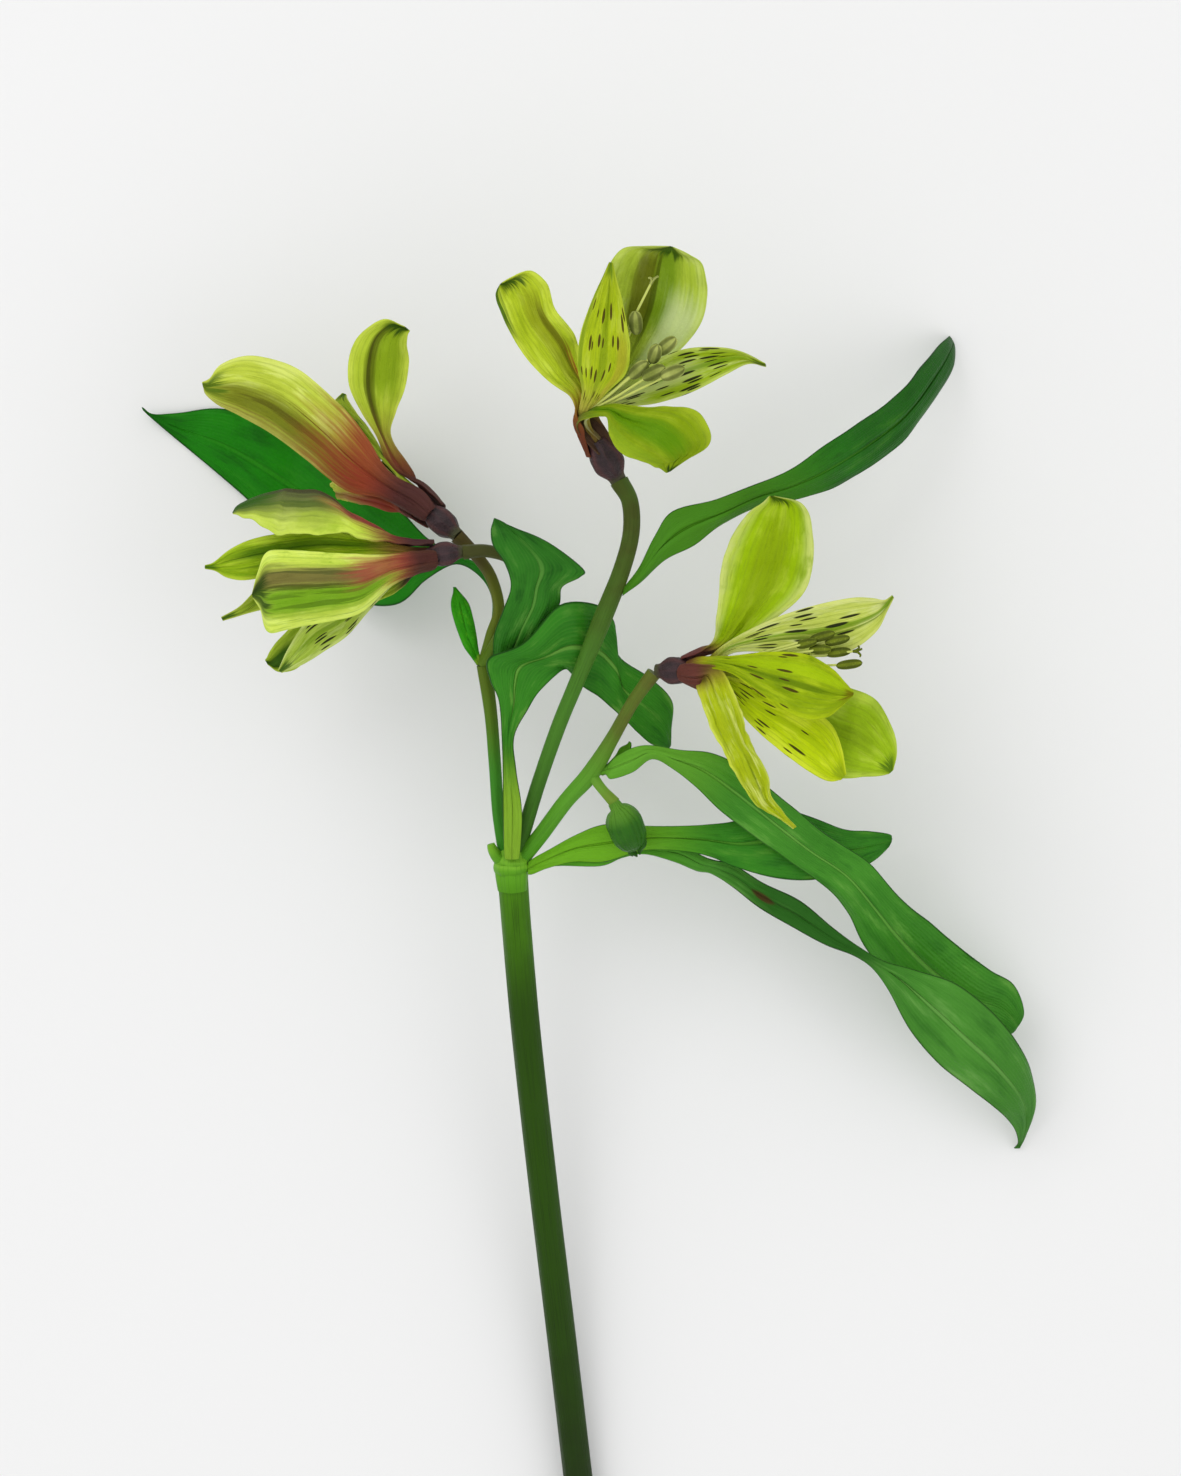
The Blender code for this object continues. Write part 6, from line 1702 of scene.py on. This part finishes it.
# %% Stations and anthers of the right bloom
BLOOM_RIGHT = {
    "ovary_base": (29.4, 39.0, 47.4),
    "axis": (0.93, 0.02, 0.36),
    "ovary_length": 5.5,
    "ovary_radius": 2.8,
    "claw_length": 3.5,
    "outer": {
        "top": (-100.0, (
            ((40.2, 45.2, 50.0), (44.2, 43.8, 50.6), 0.3),
            ((41.0, 50.8, 50.5), (51.2, 48.4, 52.0), 0.8),
            ((41.8, 59.2, 51.0), (58.2, 54.4, 53.4), 1.6),
            ((43.6, 65.2, 52.0), (60.2, 61.2, 55.0), 1.8),
            ((47.0, 70.4, 53.5), (59.8, 68.8, 56.2), 1.4),
            ((50.0, 72.6, 54.5), (57.6, 72.6, 56.5), 0.6),
            ((51.4, 74.0, 55.0), (52.6, 74.0, 55.3), 0.0),
        )),
        "down": (20.0, (
            ((37.8, 36.8, 53.2), (40.8, 39.0, 54.0), 0.2),
            ((38.8, 31.2, 56.0), (44.6, 33.2, 56.0), 0.6),
            ((40.4, 26.2, 58.0), (46.2, 28.8, 55.6), 1.0),
            ((43.2, 20.8, 57.6), (48.0, 24.2, 55.4), 1.0),
            ((46.6, 15.2, 55.2), (51.2, 18.2, 55.6), 0.7),
            ((49.6, 11.6, 53.0), (51.8, 14.2, 54.2), 0.3),
            ((53.2, 9.6, 51.0), (54.2, 10.8, 51.8), 0.1),
            ((56.2, 7.4, 50.0), (56.9, 7.9, 50.2), 0.0),
        )),
        "low": (140.0, (
            ((42.6, 41.0, 47.4), (42.0, 35.8, 47.4), 0.4),
            ((50.6, 39.6, 48.0), (48.0, 30.2, 48.0), 1.0),
            ((59.6, 38.2, 49.5), (54.6, 24.2, 49.5), 1.6),
            ((67.6, 35.6, 51.0), (60.6, 19.6, 51.0), 1.8),
            ((72.8, 33.2, 52.0), (65.6, 17.6, 52.0), 1.6),
            ((76.2, 27.2, 52.5), (70.0, 17.8, 52.5), 0.8),
            ((77.0, 22.8, 52.3), (73.6, 18.0, 52.3), 0.3),
            ((76.3, 19.2, 52.0), (75.4, 18.4, 52.0), 0.0),
        )),
    },
    "inner": {
        "high": (200.0, (
            ((43.4, 45.0, 52.8), (44.2, 42.6, 53.0), 0.2),
            ((51.6, 49.2, 54.7), (53.2, 42.6, 54.0), 0.6),
            ((60.0, 52.0, 56.4), (62.0, 41.8, 56.0), 0.8),
            ((67.6, 53.6, 58.0), (68.0, 43.2, 57.5), 0.8),
            ((72.0, 53.6, 59.2), (72.8, 46.8, 58.8), 0.4),
            ((74.4, 53.2, 60.0), (75.0, 50.8, 59.8), 0.1),
            ((76.0, 54.2, 60.8), (76.4, 53.6, 60.8), 0.0),
        )),
        "near": (-40.0, (
            ((43.6, 42.0, 54.8), (43.6, 38.6, 55.4), 0.2),
            ((50.6, 42.8, 57.2), (50.6, 33.6, 57.8), 0.6),
            ((58.6, 42.4, 59.2), (57.6, 29.6, 59.4), 0.9),
            ((64.0, 39.6, 60.6), (62.6, 29.6, 60.8), 0.7),
            ((66.8, 36.6, 61.6), (65.6, 31.6, 61.6), 0.3),
            ((68.4, 34.8, 62.2), (68.2, 34.0, 62.2), 0.0),
        )),
        "low": (80.0, (
            ((43.2, 38.0, 51.4), (42.2, 35.4, 51.0), 0.2),
            ((50.6, 35.2, 52.6), (47.2, 28.8, 51.8), 0.6),
            ((58.6, 32.2, 54.2), (53.2, 23.4, 53.4), 0.9),
            ((64.0, 28.2, 55.8), (59.2, 19.0, 55.0), 0.8),
            ((66.0, 23.2, 56.8), (63.2, 17.0, 56.4), 0.3),
            ((66.9, 18.4, 57.3), (65.8, 17.2, 57.3), 0.0),
        )),
    },
}
ANTHERS_RIGHT = (
    (60.2, 45.0, 59.6),
    (63.8, 44.4, 59.8),
    (66.0, 42.0, 60.6),
    (57.4, 46.2, 58.8),
    (63.6, 46.8, 60.0),
    (60.6, 47.6, 59.6),
    (66.8, 44.6, 61.0),
)

# %% Looks of the right bloom
LOOKS_RIGHT = {
    "outer": dict(
        foot="5e2230", foot_reach=0.24, foot_strength=0.95),
    "outer_top": dict(
        lime="9cbe04", shade="84a400", light="b4cc34", margin="d4dc84", margin_width=0.4, rib="7f9602",
        rib_width=0.55, rib_strength=0.6, base="a8a01c", base_reach=0.25, tip="2a4c04", tip_reach=0.07),
    "outer_down": dict(
        lime="b4c610", shade="94a414", light="e4ec84", margin="d2de4c", rib="98ac1c", rib_width=0.3,
        rib_strength=0.4, base="b4b820", base_reach=0.3, tip="c6cc3c", tip_strength=0.5, wider=(1.0, 1.0),
        form=dict(ripple=0.9, waves=7.0, crumple=0.8)),
    "outer_low": dict(
        lime="a2c41c", shade="82a410", light="bcd444", margin="bcd450", rib="7c9814", rib_width=0.3,
        rib_strength=0.5, base="a8a01c", base_reach=0.25, tip="4f7410", tip_reach=0.06,
        form=dict(ripple=0.9, waves=5.0)),
    "inner": dict(
        foot="6e2c30", foot_reach=0.16),
    "inner_high": dict(
        lime="ccd868", shade="b4c444", light="dce498", margin="d8e080", rib="6f940c", rib_width=0.12,
        rib_to=1.05, flecks=0.62, fleck_from=0.2, fleck_to=0.86, lanes=10.0, spacing=0.8, fleck_size=0.3,
        fleck_colour="0c0c06", base="bcb83c", base_reach=0.25, tip="6f9414",
        bands=(("5c7c08", 0.6, 0.08, 0.3, 1.0, 0.7),)),
    "inner_near": dict(
        lime="90aa04", shade="708c00", light="aec41c", margin="b0c410", rib="5f7c00", rib_width=0.16,
        flecks=0.4, fleck_to=0.75, lanes=11.0, spacing=0.66, fleck_size=0.24, fleck_colour="443608",
        base="a8a420", base_reach=0.25, tip="7a7408", tip_reach=0.06,
        bands=(("a8c804", 0.25, 0.3, 0.3, 1.0, 0.6),)),
    "inner_low": dict(
        lime="c0d608", shade="a0b804", light="d6e434", margin="d0de34", rib="a8c004", rib_width=0.16,
        flecks=0.5, fleck_from=0.2, fleck_to=0.8, lanes=11.0, spacing=0.7, fleck_size=0.27,
        fleck_colour="30280a", base="b8b430", tip="94ac14"),
}

# %% Make the four blooms
blooms = (
    dict(name="bloom_upper_left", bloom=BLOOM_UPPER_LEFT, looks=LOOKS_UPPER_LEFT, flare=0.05,
         anthers=ANTHERS_UPPER_LEFT, anther_radius=1.1, nudge=(0, 0, 0), olive="76842c", dusk="56641a"),
    dict(name="bloom_lower_left", bloom=BLOOM_LOWER_LEFT, looks=LOOKS_LOWER_LEFT, flare=0.1,
         anthers=ANTHERS_LOWER_LEFT, anther_radius=1.1, nudge=(0, 0, 0), olive="76842c", dusk="56641a"),
    dict(name="bloom_top", bloom=BLOOM_TOP, looks=LOOKS_TOP, flare=-0.18,
         anthers=ANTHERS_TOP, anther_radius=1.3, nudge=(-1, 1, 0), olive="b4bc66", dusk="68742a"),
    dict(name="bloom_right", bloom=BLOOM_RIGHT, looks=LOOKS_RIGHT, flare=0.32,
         anthers=ANTHERS_RIGHT, anther_radius=0.9, nudge=(1.4, -1.6, 0), olive="74821e", dusk="505c14"),
)
for made in blooms:
    name, bloom, looks = made["name"], made["bloom"], made["looks"]
    for kind in ("outer", "inner"):
        for number, part in enumerate(bloom[kind]):
            own_looks = {**looks.get(kind, {}), **looks[f"{kind}_{part}"]}
            tepal(name, kind, part, bloom, own_looks, made["flare"], seed=number * 3.7 + len(name))
    ovary(name, bloom, ovary_finish(name + "_ovary_skin"))
    thread_finish, anther_finish = stamen_finishes(name, made["olive"], made["dusk"])
    stamens(name, bloom, made["anthers"], made["anther_radius"], Vector(made["nudge"]),
            thread_finish, anther_finish)
